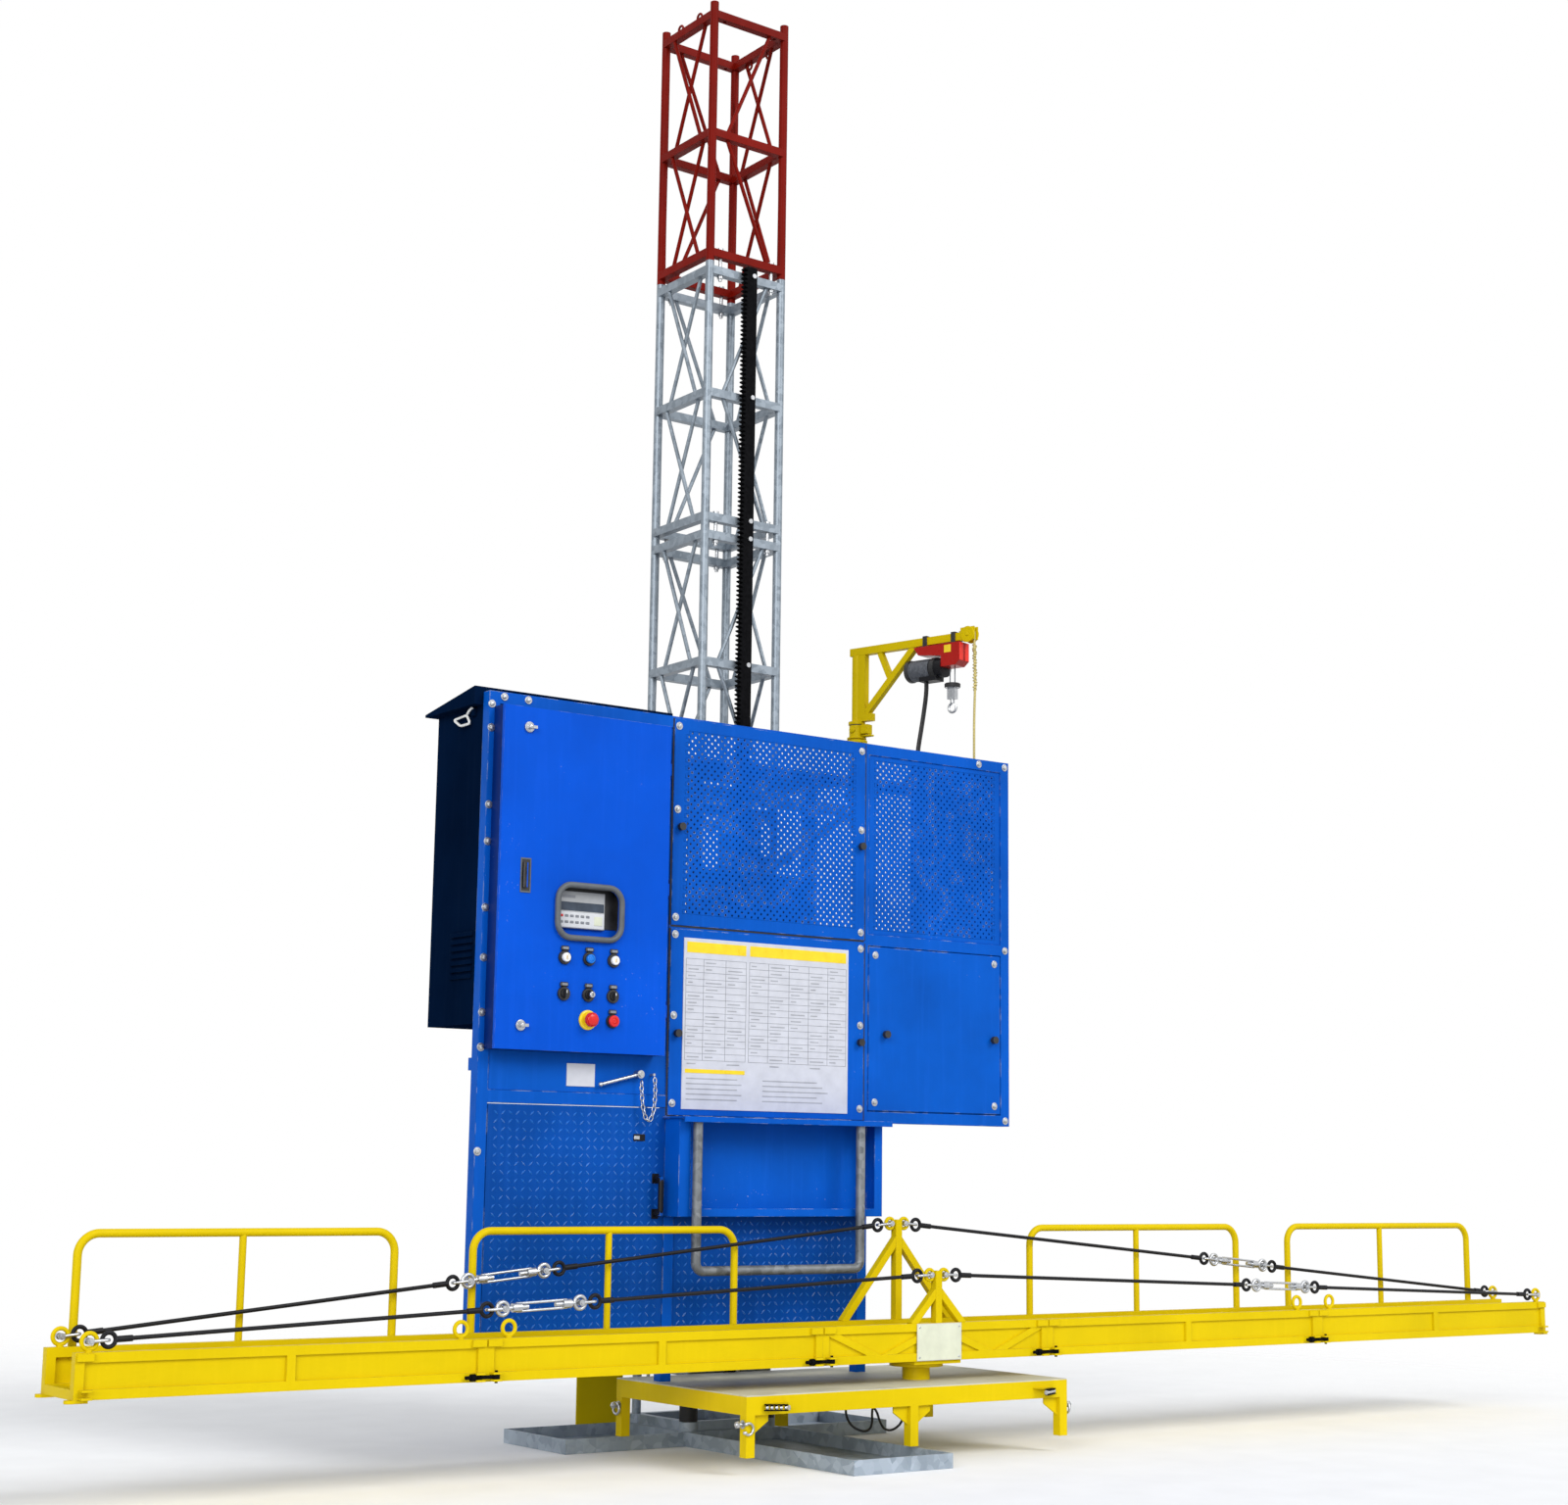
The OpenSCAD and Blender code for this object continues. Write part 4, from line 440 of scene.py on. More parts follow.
    def done(self, name, body, replace=()):
        mesh = bpy.data.meshes.new(name)
        mesh.from_pydata(self.v, [], self.f)
        for m in self.mats:
            mesh.materials.append(M[m])
        mesh.polygons.foreach_set("material_index", self.m)
        mesh.polygons.foreach_set("use_smooth", self.s)
        mesh.update()
        obj = bpy.data.objects.new(name, mesh)
        scene.collection.objects.link(obj)
        if body:
            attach(obj, body)
        if replace:
            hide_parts(*replace)
        return obj


def mm_box(name):
    """Lowest and highest corner of a CAD node, in whole millimetres."""
    return [Vector([round(v / MM) for v in corner]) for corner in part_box(name)]


def middle(name):
    """Middle of a CAD node seen from the front, as x and z."""
    lo, hi = mm_box(name)
    return (lo.x + hi.x) / 2, (lo.z + hi.z) / 2


def inset(rect, left, right, low, high):
    return rect[0] + left, rect[1] - right, rect[2] + low, rect[3] - high


def through(points, steps):
    """Smooth line through the points, as a list of vectors."""
    p = [Vector(q) for q in points]
    p = [2 * p[0] - p[1]] + p + [2 * p[-1] - p[-2]]
    line = []
    for i in range(1, len(p) - 2):
        a, b, c, d = p[i - 1], p[i], p[i + 1], p[i + 2]
        for k in range(steps):
            t = k / steps
            bend = (2 * a - 5 * b + 4 * c - d) * t * t + (3 * b - a - 3 * c + d) * t ** 3
            line.append(0.5 * (2 * b + (c - a) * t + bend))
    line.append(p[-2])
    return line


def tube(name, line, d, mat):
    s = Shape([mat])
    s.sweep(line, d / 2, 12)
    return s.done(name, None)


# places on the jib, turned to its rest angle: JIB_Z is the underside of the arm, TIP the pulley's middle
JIB_X, JIB_Y, JIB_ANGLE = 1240.0, 300.0, -75.6
JIB = Matrix.Translation((JIB_X, JIB_Y, 0.0)) @ Matrix.Rotation(math.radians(JIB_ANGLE), 4, "Z")
JIB_Z = 4398.0
TIP = Vector((810.0, 0.0, JIB_Z + 29))

# cords: the same routes as in the part's source
CORD_STEPS = 6
ROPE_D = 14
HOIST_LEAD_D = 14
DECK_LEAD_D = 12
HOIST_LEADS = ((520.0, -30, 4182.0), (520.0, -10, 4182.0))
DECK_LEAD_Z = 270
TAG = [(-70, 0, 24.5), (-40, 0, 25), (-20, 0, 29), (0, 0, 33.3), (12.7, 0, 30.8), (23.5, 0, 23.5),
       (30.8, 0, 12.7), (33.3, 0, 0), (33.3, 0, -60), (34, 1, -127), (35, 3, -227), (34, 4, -327),
       (32, 2, -427), (31, 0, -527), (32, -2, -627), (33, -3, -727), (34, 0, -867)]
HOIST = [(0, 0, -0.3), (0, 0, -45), (4, -12, -100), (16, -42, -170), (34, -84, -250), (54, -130, -330),
         (74, -176, -410), (88, -208, -480), (88, -222, -540), (62, -224, -590), (8, -208, -622),
         (-70, -176, -634), (-160, -134, -632), (-250, -88, -626), (-330, -42, -622), (-395, 0, -622),
         (-430, 20, -622), (-449.7, 20, -622)]
DECK = [(150, -1050, -0.3), (150, -1050, -70), (165, -1075, -120), (200, -1110, -145), (240, -1120, -140),
        (270, -1105, -110), (290, -1080, -70), (320, -1050, -45), (360, -1030, -70), (390, -1020, -120),
        (420, -1020, -155), (460, -1030, -160), (500, -1045, -130), (525, -1050, -70), (525, -1050, -0.3)]

# pale rope over the jib's tip, with the knot at its end and a strand spliced round its middle
tag_line = through([JIB @ (TIP + Vector(p)) for p in TAG], CORD_STEPS)
tag = tube("tag_line", tag_line, ROPE_D, "pale_rope")
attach(tag, "jib")
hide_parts("tag_rope")
KNOT_STEPS, KNOT_SIZE, KNOT_HIGH, KNOT_DROP, KNOT_R = 48, 5.2, 7.0, 4, 6.2
loop = []
for k in range(KNOT_STEPS):
    a = 2 * math.pi * k / KNOT_STEPS
    x = (math.sin(a) + 2 * math.sin(2 * a)) * KNOT_SIZE
    y = (math.cos(a) - 2 * math.cos(2 * a)) * KNOT_SIZE
    loop.append(tag_line[-1] + Vector((x, y, -math.sin(3 * a) * KNOT_HIGH - KNOT_DROP)))
knot = Shape(["pale_rope"])
knot.sweep(loop, KNOT_R, closed=True)
knot_obj = knot.done("tag_knot", "jib")
SPLICE_FROM, SPLICE_TO, SPLICE_STEPS, SPLICE_OUT, SPLICE_TURN, SPLICE_R = 48, 67, 3, 9, 1.9, 6.0
strand = []
for k, p in enumerate(through(tag_line[SPLICE_FROM:SPLICE_TO], SPLICE_STEPS)):
    a = SPLICE_TURN * k
    strand.append(p + Vector((SPLICE_OUT * math.cos(a), SPLICE_OUT * math.sin(a), 0)))
splice = Shape(["pale_rope"])
splice.sweep(strand, SPLICE_R)
splice_obj = splice.done("tag_splice", "jib")

# two leads from the hoist to the collar on the jib socket
for i, start in enumerate(HOIST_LEADS):
    line = through([JIB @ (Vector(start) + Vector(p)) for p in HOIST], CORD_STEPS)
    obj = tube("hoist_lead_%d" % (i + 1), line, HOIST_LEAD_D, "black_rubber")
    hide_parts("hoist_cable")
    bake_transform(obj)

# lead under the deck
line = through([Vector((x, y, z + DECK_LEAD_Z)) for x, y, z in DECK], CORD_STEPS)
obj = tube("deck_lead", line, DECK_LEAD_D, "black_rubber")
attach(obj, "carriage")
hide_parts("deck_cable")

# house sheets as rectangles x0, x1, z0, z1: FRONT is the face of the house frame, COVER that of the covers
FRONT = mm_box("house_frame")[0].y
COVER = mm_box("house_panels")[0].y
SHEET_Y, SHEET_T = FRONT + 6, 6
UPPER_COVER = (-680, 563, 2605, 3667)
LOWER_COVER = (-680, 563, 1652, 2588)
RIGHT_SHEET = (593, 1535, 2640, 3615)
# blue sheet behind the right holes: painted shade seen through them
RIGHT_SHADE_SHEET = (893, 1535, 2640, 3615)
LEFT_SHEET = (-1703, -685, 1750, 3615)
TRAY_SHEET = (-625, 533, 560, 1590)
HATCH, HATCH_T = (597, 1531, 1704, 2576), 20
HOLE_R, HOLE_DX, HOLE_DZ, HOLE_SIDES = 6.0, 41.0, 20.5, 8
TREAD_PITCH, TREAD_LONG, TREAD_WIDE, TREAD_HIGH = 40.0, 32.0, 10.0, 3.0


def perforated(s, sheet, field, y, t):
    """Sheet with staggered holes in the field: margins, rim, then a square with its hole for each place."""
    x0, x1, z0, z1 = sheet
    fx0, fx1, fz0, fz1 = field
    cols, rows = int((fx1 - fx0) // HOLE_DX), int((fz1 - fz0) // HOLE_DZ)
    ax, az = (fx0 + fx1 - cols * HOLE_DX) / 2, (fz0 + fz1 - rows * HOLE_DZ) / 2
    bx, bz = ax + cols * HOLE_DX, az + rows * HOLE_DZ

    def flat_piece(xa, xb, za, zb):
        s.quad((xa, y, za), (xb, y, za), (xb, y, zb), (xa, y, zb))

    flat_piece(x0, x1, z0, az)
    flat_piece(x0, x1, bz, z1)
    flat_piece(x0, ax, az, bz)
    flat_piece(bx, x1, az, bz)
    rim = [(x0, z0), (x1, z0), (x1, z1), (x0, z1)]
    for (ua, va), (ub, vb) in zip(rim, rim[1:] + rim[:1]):
        s.quad((ub, y, vb), (ua, y, va), (ua, y + t, va), (ub, y + t, vb))
    angles = [2 * math.pi * k / HOLE_SIDES for k in range(HOLE_SIDES)]
    for j in range(rows):
        za, zb = az + j * HOLE_DZ, az + (j + 1) * HOLE_DZ
        zc = (za + zb) / 2
        odd = j % 2
        if odd:
            flat_piece(ax, ax + HOLE_DX / 2, za, zb)
            flat_piece(bx - HOLE_DX / 2, bx, za, zb)
        for i in range(cols - odd):
            xa = ax + (i + odd / 2) * HOLE_DX
            xb, xc = xa + HOLE_DX, xa + HOLE_DX / 2
            outer = [(xb, zc), (xb, zb), (xc, zb), (xa, zb), (xa, zc), (xa, za), (xc, za), (xb, za)]
            hole = [(xc + HOLE_R * math.cos(a), zc + HOLE_R * math.sin(a)) for a in angles]
            verts = [(u, y, w) for u, w in outer + hole] + [(u, y + t, w) for u, w in hole]
            faces = []
            for k in range(HOLE_SIDES):
                m = (k + 1) % HOLE_SIDES
                faces.append([k, HOLE_SIDES + k, HOLE_SIDES + m, m])
                faces.append([HOLE_SIDES + k, 2 * HOLE_SIDES + k, 2 * HOLE_SIDES + m, HOLE_SIDES + m])
            s.add(verts, faces)


def tread(s, field, y, mat=None):
    """Raised tread marks over a field, each turned against its neighbours."""
    x0, x1, z0, z1 = field
    cols, rows = int((x1 - x0) // TREAD_PITCH), int((z1 - z0) // TREAD_PITCH)
    ax = (x0 + x1 - (cols - 1) * TREAD_PITCH) / 2
    az = (z0 + z1 - (rows - 1) * TREAD_PITCH) / 2
    top = Vector((0, -TREAD_HIGH, 0))
    for i in range(cols):
        for j in range(rows):
            a = math.radians(45 if (i + j) % 2 else -45)
            u = Vector((math.cos(a), 0, math.sin(a))) * TREAD_LONG
            w = Vector((-math.sin(a), 0, math.cos(a))) * TREAD_WIDE
            c = Vector((ax + i * TREAD_PITCH, y, az + j * TREAD_PITCH))
            verts = [c - u / 2, c - w / 2, c + u / 2, c + w / 2, c - u / 6 + top, c + u / 6 + top]
            s.add(verts, [[0, 1, 4], [1, 5, 4], [1, 2, 5], [2, 3, 5], [3, 4, 5], [3, 0, 4]], mat)


# upper cover and right sheet with holes, and a blue sheet behind the right part of that sheet that paints
# the shade seen through its holes
s = Shape(["blue_panel"])
perforated(s, UPPER_COVER, inset(UPPER_COVER, 68, 66, 57, 55), COVER, FRONT - COVER)
perforated(s, RIGHT_SHEET, inset(RIGHT_SHEET, 22, 20, 25, 25), SHEET_Y, SHEET_T)
s.plate(RIGHT_SHADE_SHEET, SHEET_Y + SHEET_T + 0.6, SHEET_Y + SHEET_T + 3, edge=0.5)
s.done("perforated_sheets", "carriage", ["house_panels"])

# plain sheets, the tray sheet in a darker blue of painted shade, tread marks under the tray in a lighter
# blue of painted highlight, and black strips below and beside the two covers that paint the shade in their
# seams
SEAM_SHADE_W, SEAM_SHADE_DROP, SEAM_SHADE_GAP, SEAM_SHADE_PROUD = 7.6, 9, 0.4, 2
s = Shape(["blue_panel", "blue_lower_shade", "tread_highlight_blue", "black_rubber"])
s.plate(LOWER_COVER, COVER, FRONT, edge=2)
s.plate(HATCH, FRONT, FRONT + HATCH_T, edge=3)
s.plate(TRAY_SHEET, SHEET_Y, SHEET_Y + SHEET_T, "blue_lower_shade")
s.plate(LEFT_SHEET, SHEET_Y, SHEET_Y + SHEET_T)
tread(s, inset(TRAY_SHEET, 10, 10, 10, 440), SHEET_Y, "tread_highlight_blue")
# black strips round the covers: painted shade in their seams
seam_shades = []
for x0, x1, z0, _ in (UPPER_COVER, LOWER_COVER):
    seam_shades.append((x0, x1, z0 - SEAM_SHADE_DROP, z0 - SEAM_SHADE_GAP))
for x0, x1, z0, z1 in (inset(UPPER_COVER, 0, 0, 0, 1), LOWER_COVER):
    seam_shades.append((x0 - SEAM_SHADE_GAP - SEAM_SHADE_W, x0 - SEAM_SHADE_GAP, z0, z1))
    seam_shades.append((x1 + SEAM_SHADE_GAP, x1 + SEAM_SHADE_GAP + SEAM_SHADE_W, z0, z1))
for rect in seam_shades:
    s.plate(rect, FRONT - SEAM_SHADE_PROUD, FRONT - OFF, "black_rubber", 0.5)
s.done("house_sheets", "carriage", ["house_panels"])

# lower door: tread marks in a lighter blue that paints highlights on them, bow handle on two feet, key
# plate with its slide
lo, hi = mm_box("tread_door")
s = Shape(["tread_highlight_blue"])
tread(s, inset((lo.x, hi.x, lo.z, hi.z), 9, 11, 10, 10), FRONT)
s.done("tread_door_pattern", "tread_door")
GRIP_X, GRIP_Y, GRIP_Z0, GRIP_Z1 = -741.0, -693.0, 1169.0, 1341.0
GRIP_R, GRIP_BEND, GRIP_CUT = 14.0, 14, 4
FOOT_W, FOOT_H = 20, 24
KEY_PLATE, KEY_SLIDE = (-875, -807, 1522, 1556), (-871, -840, 1530, 1548)
half = [(FRONT, 0), (GRIP_Y + GRIP_BEND, 0), (GRIP_Y + GRIP_CUT, GRIP_CUT), (GRIP_Y, GRIP_BEND)]
grip = [(GRIP_X, y, GRIP_Z0 + z) for y, z in half] + [(GRIP_X, y, GRIP_Z1 - z) for y, z in half[::-1]]
s = Shape(["charcoal_paint", "bright_steel"])
s.sweep(grip, GRIP_R, smooth=False)
for z in (GRIP_Z0, GRIP_Z1):
    s.plate((GRIP_X - FOOT_W, GRIP_X + FOOT_W, z - FOOT_H, z + FOOT_H), FRONT - 5, FRONT - OFF, edge=1.5)
s.plate(KEY_PLATE, FRONT - 3, FRONT - OFF)
s.plate(KEY_SLIDE, FRONT - 4.5, FRONT - 2.8, "bright_steel")
s.done("tread_door_handle", "tread_door")

# washers under the house bolts and small crowns on their heads
# rows: left post, top rail on the left and on the right, right post, covers, hatch
BOLT_ROWS = (
    ((-1749,), FRONT, (1459, 1949, 2114, 2375, 2615, 2935, 3114, 3492, 3609)),
    ((-1681, -1546), FRONT, (3651,)),
    ((1375, 1565), FRONT, (3647,)),
    ((1565,), FRONT, (1670, 2610)),
    ((-654, 537), COVER, (2645, 3196, 3627, 1712, 2150, 2558)),
    ((642, 1486), FRONT, (1749, 2531)),
)
WASHER = [(12.2, OFF), (20, OFF), (20, 2.6), (18.6, 3.4), (12.2, 3.4)]
BOLT_CROWN = [(11, 8.8), (11, 10.5), (8.0, 12.5), (3.0, 13.2)]
s = Shape(["bright_steel"])
for xs, y, zs in BOLT_ROWS:
    for x in xs:
        for z in zs:
            s.ring((x, y, z), OUT, WASHER, 18)
            s.lathe((x, y, z), OUT, BOLT_CROWN, 6, smooth=False)
s.done("house_bolt_heads", "carriage")

# loop handle of the side box with its stem, on a small plate
HANDLE_X, HANDLE_R, HANDLE_BEND, BEND_STEPS = -1784, 6.5, 20, 6
HANDLE_CORNERS = ((-326, 3566), (-396, 3527), (-492, 3528), (-457, 3574))
HANDLE_PLATE = (-520, -486, 3564, 3604)
HANDLE_STEM = [(HANDLE_X, -457, 3574), (HANDLE_X, -478, 3592), (HANDLE_X + 4, -498, 3606),
               (HANDLE_X + 14, -502, 3600)]
corners = [Vector((HANDLE_X, y, z)) for y, z in HANDLE_CORNERS]
loop = []
for i, p in enumerate(corners):
    before = p + (corners[i - 1] - p).normalized() * HANDLE_BEND
    after = p + (corners[(i + 1) % len(corners)] - p).normalized() * HANDLE_BEND
    for k in range(BEND_STEPS + 1):
        t = k / BEND_STEPS
        loop.append(before * (1 - t) ** 2 + p * 2 * t * (1 - t) + after * t ** 2)
s = Shape(["white_plastic", "navy_paint"])
s.sweep(loop, HANDLE_R, 10, closed=True)
s.sweep(HANDLE_STEM, HANDLE_R, 10)
# plate in the near-black blue of the side box, which paints the shade on that side
s.box(HANDLE_X + 6, HANDLE_X + 20.8, *HANDLE_PLATE, "navy_paint", 2)
s.done("side_handle", "carriage")

# control door: rubber gasket round the display window, and the display unit behind it with its keys and
# with black plates round it that paint the shade in the recess
DOOR = FRONT - 100
SHOW_X, SHOW_Z, SHOW_Y = -1227.0, 2618.0, DOOR + 32
GASKET_W, GASKET_H, GASKET_BEND, GASKET_R = 183.0, 129.0, 74.0, 15.0
KEY_COLS, KEY_ROWS, KEY_PITCH = 6, 2, 30
loop = []
for sx, sz, a0 in ((1, 1, 0), (-1, 1, 90), (-1, -1, 180), (1, -1, 270)):
    x, z = SHOW_X + sx * (GASKET_W - GASKET_BEND), SHOW_Z + sz * (GASKET_H - GASKET_BEND)
    for k in range(BEND_STEPS + 1):
        a = math.radians(a0 + 90 * k / BEND_STEPS)
        loop.append((x + GASKET_BEND * math.cos(a), DOOR - 11, z + GASKET_BEND * math.sin(a)))
s = Shape(["gasket"])
s.sweep(loop, GASKET_R, 12, closed=True)
s.done("display_gasket", "control_door")


def show(left, right, low, high):
    """Rectangle given from the middle of the display."""
    return SHOW_X + left, SHOW_X + right, SHOW_Z + low, SHOW_Z + high


s = Shape(["grey_plastic", "lcd", "red_plastic", "plate_beige", "panel_grey", "print_grey",
           "black_plastic"])
# black plates behind, right of and above the unit: painted shade in the display recess
s.plate(show(-190, 190, -72, 136), SHOW_Y + 14.6, SHOW_Y + 17.8, "black_plastic")
s.plate(show(186, 190.5, -110, 131), SHOW_Y - 27, SHOW_Y + 14.4, "black_plastic")
s.plate(show(-190, 185.8, 131.5, 136), SHOW_Y - 27, SHOW_Y + 14.4, "black_plastic")
s.plate(show(-158, 112, -78, 104), SHOW_Y, SHOW_Y + 15, edge=3)
s.plate(show(-152, 106, 8, 50), SHOW_Y - 1.5, SHOW_Y + 1, "lcd")
s.plate(show(-154, 108, -74, 2), SHOW_Y - 1, SHOW_Y + 1, "panel_grey")
for i in range(KEY_COLS):
    for j in range(KEY_ROWS):
        x, z = i * KEY_PITCH - 138, -18 - j * KEY_PITCH
        key = "red_plastic" if (i, j) == (0, 0) else "print_grey"
        s.plate(show(x - 10, x + 10, z - 6, z + 6), SHOW_Y - 4, SHOW_Y, key, 2)
s.plate(show(50, 96, -58, -14), SHOW_Y - 3, SHOW_Y, "plate_beige", 2)
s.plate(show(-150, -60, 70, 84), SHOW_Y - 1, SHOW_Y + 1, "print_grey", 0.4)
s.done("display_unit", "control_door")

# control door: housings and blank tags of the push buttons and selectors, yellow ring of the stop button
HOUSING = [(20.8, 3), (20.8, 11.2), (24, 12.4), (32, 12.4), (34, 9), (34, OFF), (32.4, OFF)]
STOP_RING = [(12.5, 10.3), (12.5, 11.4), (40, 13), (48, 9), (48, OFF), (46.2, OFF), (46.2, 10.3)]
pushes = [middle("button_%d" % k) for k in (1, 2, 3, 4)]
turns = [middle("selector_%d" % k) for k in (1, 2, 3)]
stop_x, stop_z = middle("stop_button")
s = Shape(["black_plastic", "print_grey"])
for x, z in pushes + turns:
    s.ring((x, DOOR, z), OUT, HOUSING)
    s.plate((x - 22, x + 22, z + 34, z + 56), DOOR - 14, DOOR - OFF, edge=4)
    s.plate((x - 16, x + 16, z + 39, z + 51), DOOR - 15, DOOR - 13.8, "print_grey", 0.5)
s.done("button_housings", "control_door")
s = Shape(["yellow_plastic"])
s.ring((stop_x, DOOR, stop_z), OUT, STOP_RING, 36)
s.done("stop_ring", "control_door")

# caps of the push buttons with a rim, an inner face and a bar, the last one wider
CAPS = (("white_plastic", "brass", 22), ("blue_plastic", "blue_plastic", 22),
        ("white_plastic", "brass", 22), ("red_plastic", "red_plastic", 28))
CAP_BORE, CAP_FACE = 20.2, 14.2
for k, ((x, z), (cap, bar, r)) in enumerate(zip(pushes, CAPS)):
    rim = [(CAP_BORE, 17.2), (r, 17.2), (r, 27), (r - 2, 29.5), (r - 5, 30), (CAP_FACE, 30), (CAP_FACE, 18)]
    s = Shape([cap, bar])
    s.ring((x, DOOR, z), OUT, rim)
    s.lathe((x, DOOR - 18, z), OUT, [(CAP_FACE, 0), (CAP_FACE, 10.6), (10, 11.4)])
    s.plate((x - 3, x + 3, z - 9, z + 9), DOOR - 30.4, DOOR - 29, bar, 0.5)
    s.done("button_%d_cap" % (k + 1), "button_%d" % (k + 1))

# dome and band of the stop button
STOP_DOME = [(31, 53.9), (28, 57.9), (20, 60.9), (8, 62.3)]
STOP_BAND = [(33.2, 34.5), (35, 37), (35, 50), (33.2, 53)]
s = Shape(["red_plastic"])
s.lathe((stop_x, DOOR, stop_z), OUT, STOP_DOME, 28)
s.ring((stop_x, DOOR, stop_z), OUT, STOP_BAND, 32)
s.done("stop_dome", "stop_button")

# marks and collars of the selectors, with a key in the middle one
KEY_SELECTOR = 1
COLLAR = [(15, 15.7), (19, 15.7), (18, 18.2), (15, 18.2)]
KEY_BARREL = [(15, 35), (15, 46), (13, 48), (11, 48)]
for k, (x, z) in enumerate(turns):
    s = Shape(["white_plastic", "black_plastic", "bright_steel"])
    s.plate((x - 1.8, x + 1.8, z + 2, z + 16), DOOR - 36.9, DOOR - 35.6, edge=0.4)
    s.ring((x, DOOR, z), OUT, COLLAR, 24, "black_plastic")
    if k == KEY_SELECTOR:
        s.lathe((x, DOOR, z), OUT, KEY_BARREL, 24, "bright_steel")
        s.plate((x - 2, x + 2, z - 8, z + 8), DOOR - 49.5, DOOR - 47.8, "black_plastic", 0.4)
    s.done("selector_%d_mark" % (k + 1), "selector_%d" % (k + 1))

# latch of the control door: frame of four bars, recess and lever
LATCH_FRAME = ((-1620, -1562, 2690, 2698), (-1620, -1562, 2850, 2858), (-1620, -1614, 2697, 2851),
               (-1568, -1562, 2697, 2851))
LATCH_RECESS, LATCH_LEVER = (-1614.5, -1567.5, 2697, 2851), (-1606, -1586, 2712, 2838)
s = Shape(["black_plastic", "gasket"])
for bar in LATCH_FRAME:
    s.plate(bar, DOOR - 4, DOOR - OFF, "gasket")
s.plate(LATCH_RECESS, DOOR - 1.5, DOOR + 2.3, edge=0.6)
s.plate(LATCH_LEVER, DOOR - 12, DOOR - 1, edge=3)
s.done("door_latch", "control_door")

# roses and knobs of the two locks, which stand a radius in from the lower left of their boxes
LOCK_R = 22
ROSE = [(LOCK_R + OFF, 1), (26, 1), (26, 9), (LOCK_R + OFF, 11)]
KNOB = [(11, 25.6), (11, 28.6), (8, 30.1), (3, 30.6)]
for k in (1, 2):
    lo = mm_box("lock_%d" % k)[0]
    x, z = lo.x + LOCK_R, lo.z + LOCK_R
    s = Shape(["bright_steel"])
    s.ring((x, DOOR, z), OUT, ROSE)
    s.lathe((x, DOOR, z), OUT, KNOB, 16)
    s.done("lock_%d_rose" % k, "lock_%d" % k)

# notice board with a blank ruled table: yellow heads, rules, grey bars for entries, bars below the table
BOARD = COVER - 4
HEADS = ((-582, -214, 2472, 2526), (-190, 436, 2472, 2526), (-582, -214, 1866, 1886))
TABLE_TOP, TABLE_LOW, ROW_H, ROWS = 2440, 1930, 34, 16
COLUMNS = ((-586, -478, -340, -212), (-192, -70, 62, 190, 316, 438))
ENTRY_IN, ENTRY_PARTS, ENTRY_LEAST = 14, 9, 3
LINES, LINES_TOP, LINE_STEP, LINE_H = 5, 1836, 26, 6
s = Shape(["yellow_plastic", "print_grey", "entry_grey"])


def ruled(s, x0, x1, z0, z1, mat="print_grey"):
    s.plate((x0, x1, z0, z1), BOARD - 1.0, BOARD - 0.1, mat, 0.2)


for rect in HEADS:
    ruled(s, *rect, "yellow_plastic")
for k in range(ROWS):
    z = TABLE_TOP - k * ROW_H
    for c, line in enumerate(COLUMNS):
        ruled(s, line[0], line[-1], z, z + 1.6)
        for i, (u, w) in enumerate(zip(line, line[1:])):
            fill = (7 * k + 5 * i + 3 * c) % ENTRY_PARTS
            if fill >= ENTRY_LEAST:
                long = (w - u - 2 * ENTRY_IN) * fill / ENTRY_PARTS
                ruled(s, u + ENTRY_IN, u + ENTRY_IN + long, z - 20, z - 14, "entry_grey")
for line in COLUMNS:
    for x in line:
        ruled(s, x - 0.9, x + 0.9, TABLE_LOW, TABLE_TOP)
for k in range(LINES):
    z = LINES_TOP - LINE_STEP * k
    ruled(s, -574, -260 + 28 * (k % 2), z, z + LINE_H, "entry_grey")
    ruled(s, -100, 250 + 36 * (k % 3), z, z + LINE_H, "entry_grey")
s.done("notice_table", "carriage")

# blank plate on the beam with its rivets
BEAM_PLATE, RIVET_IN = (411, 694, 466, 642), 14
RIVET = [(6, -0.5), (5.4, 1.6), (3, 2.6)]
plate_y = mm_box("notice_plates")[0].y
s = Shape(["plate_beige", "bright_steel"])
s.plate(BEAM_PLATE, plate_y - 2, plate_y - 0.1, edge=0.8)
x0, x1, z0, z1 = inset(BEAM_PLATE, RIVET_IN, RIVET_IN, RIVET_IN, RIVET_IN)
for x in (x0, x1):
    for z in (z0, z1):
        s.lathe((x, plate_y - 2, z), OUT, RIVET, 12, "bright_steel")
s.done("beam_plate_skin", "carriage")

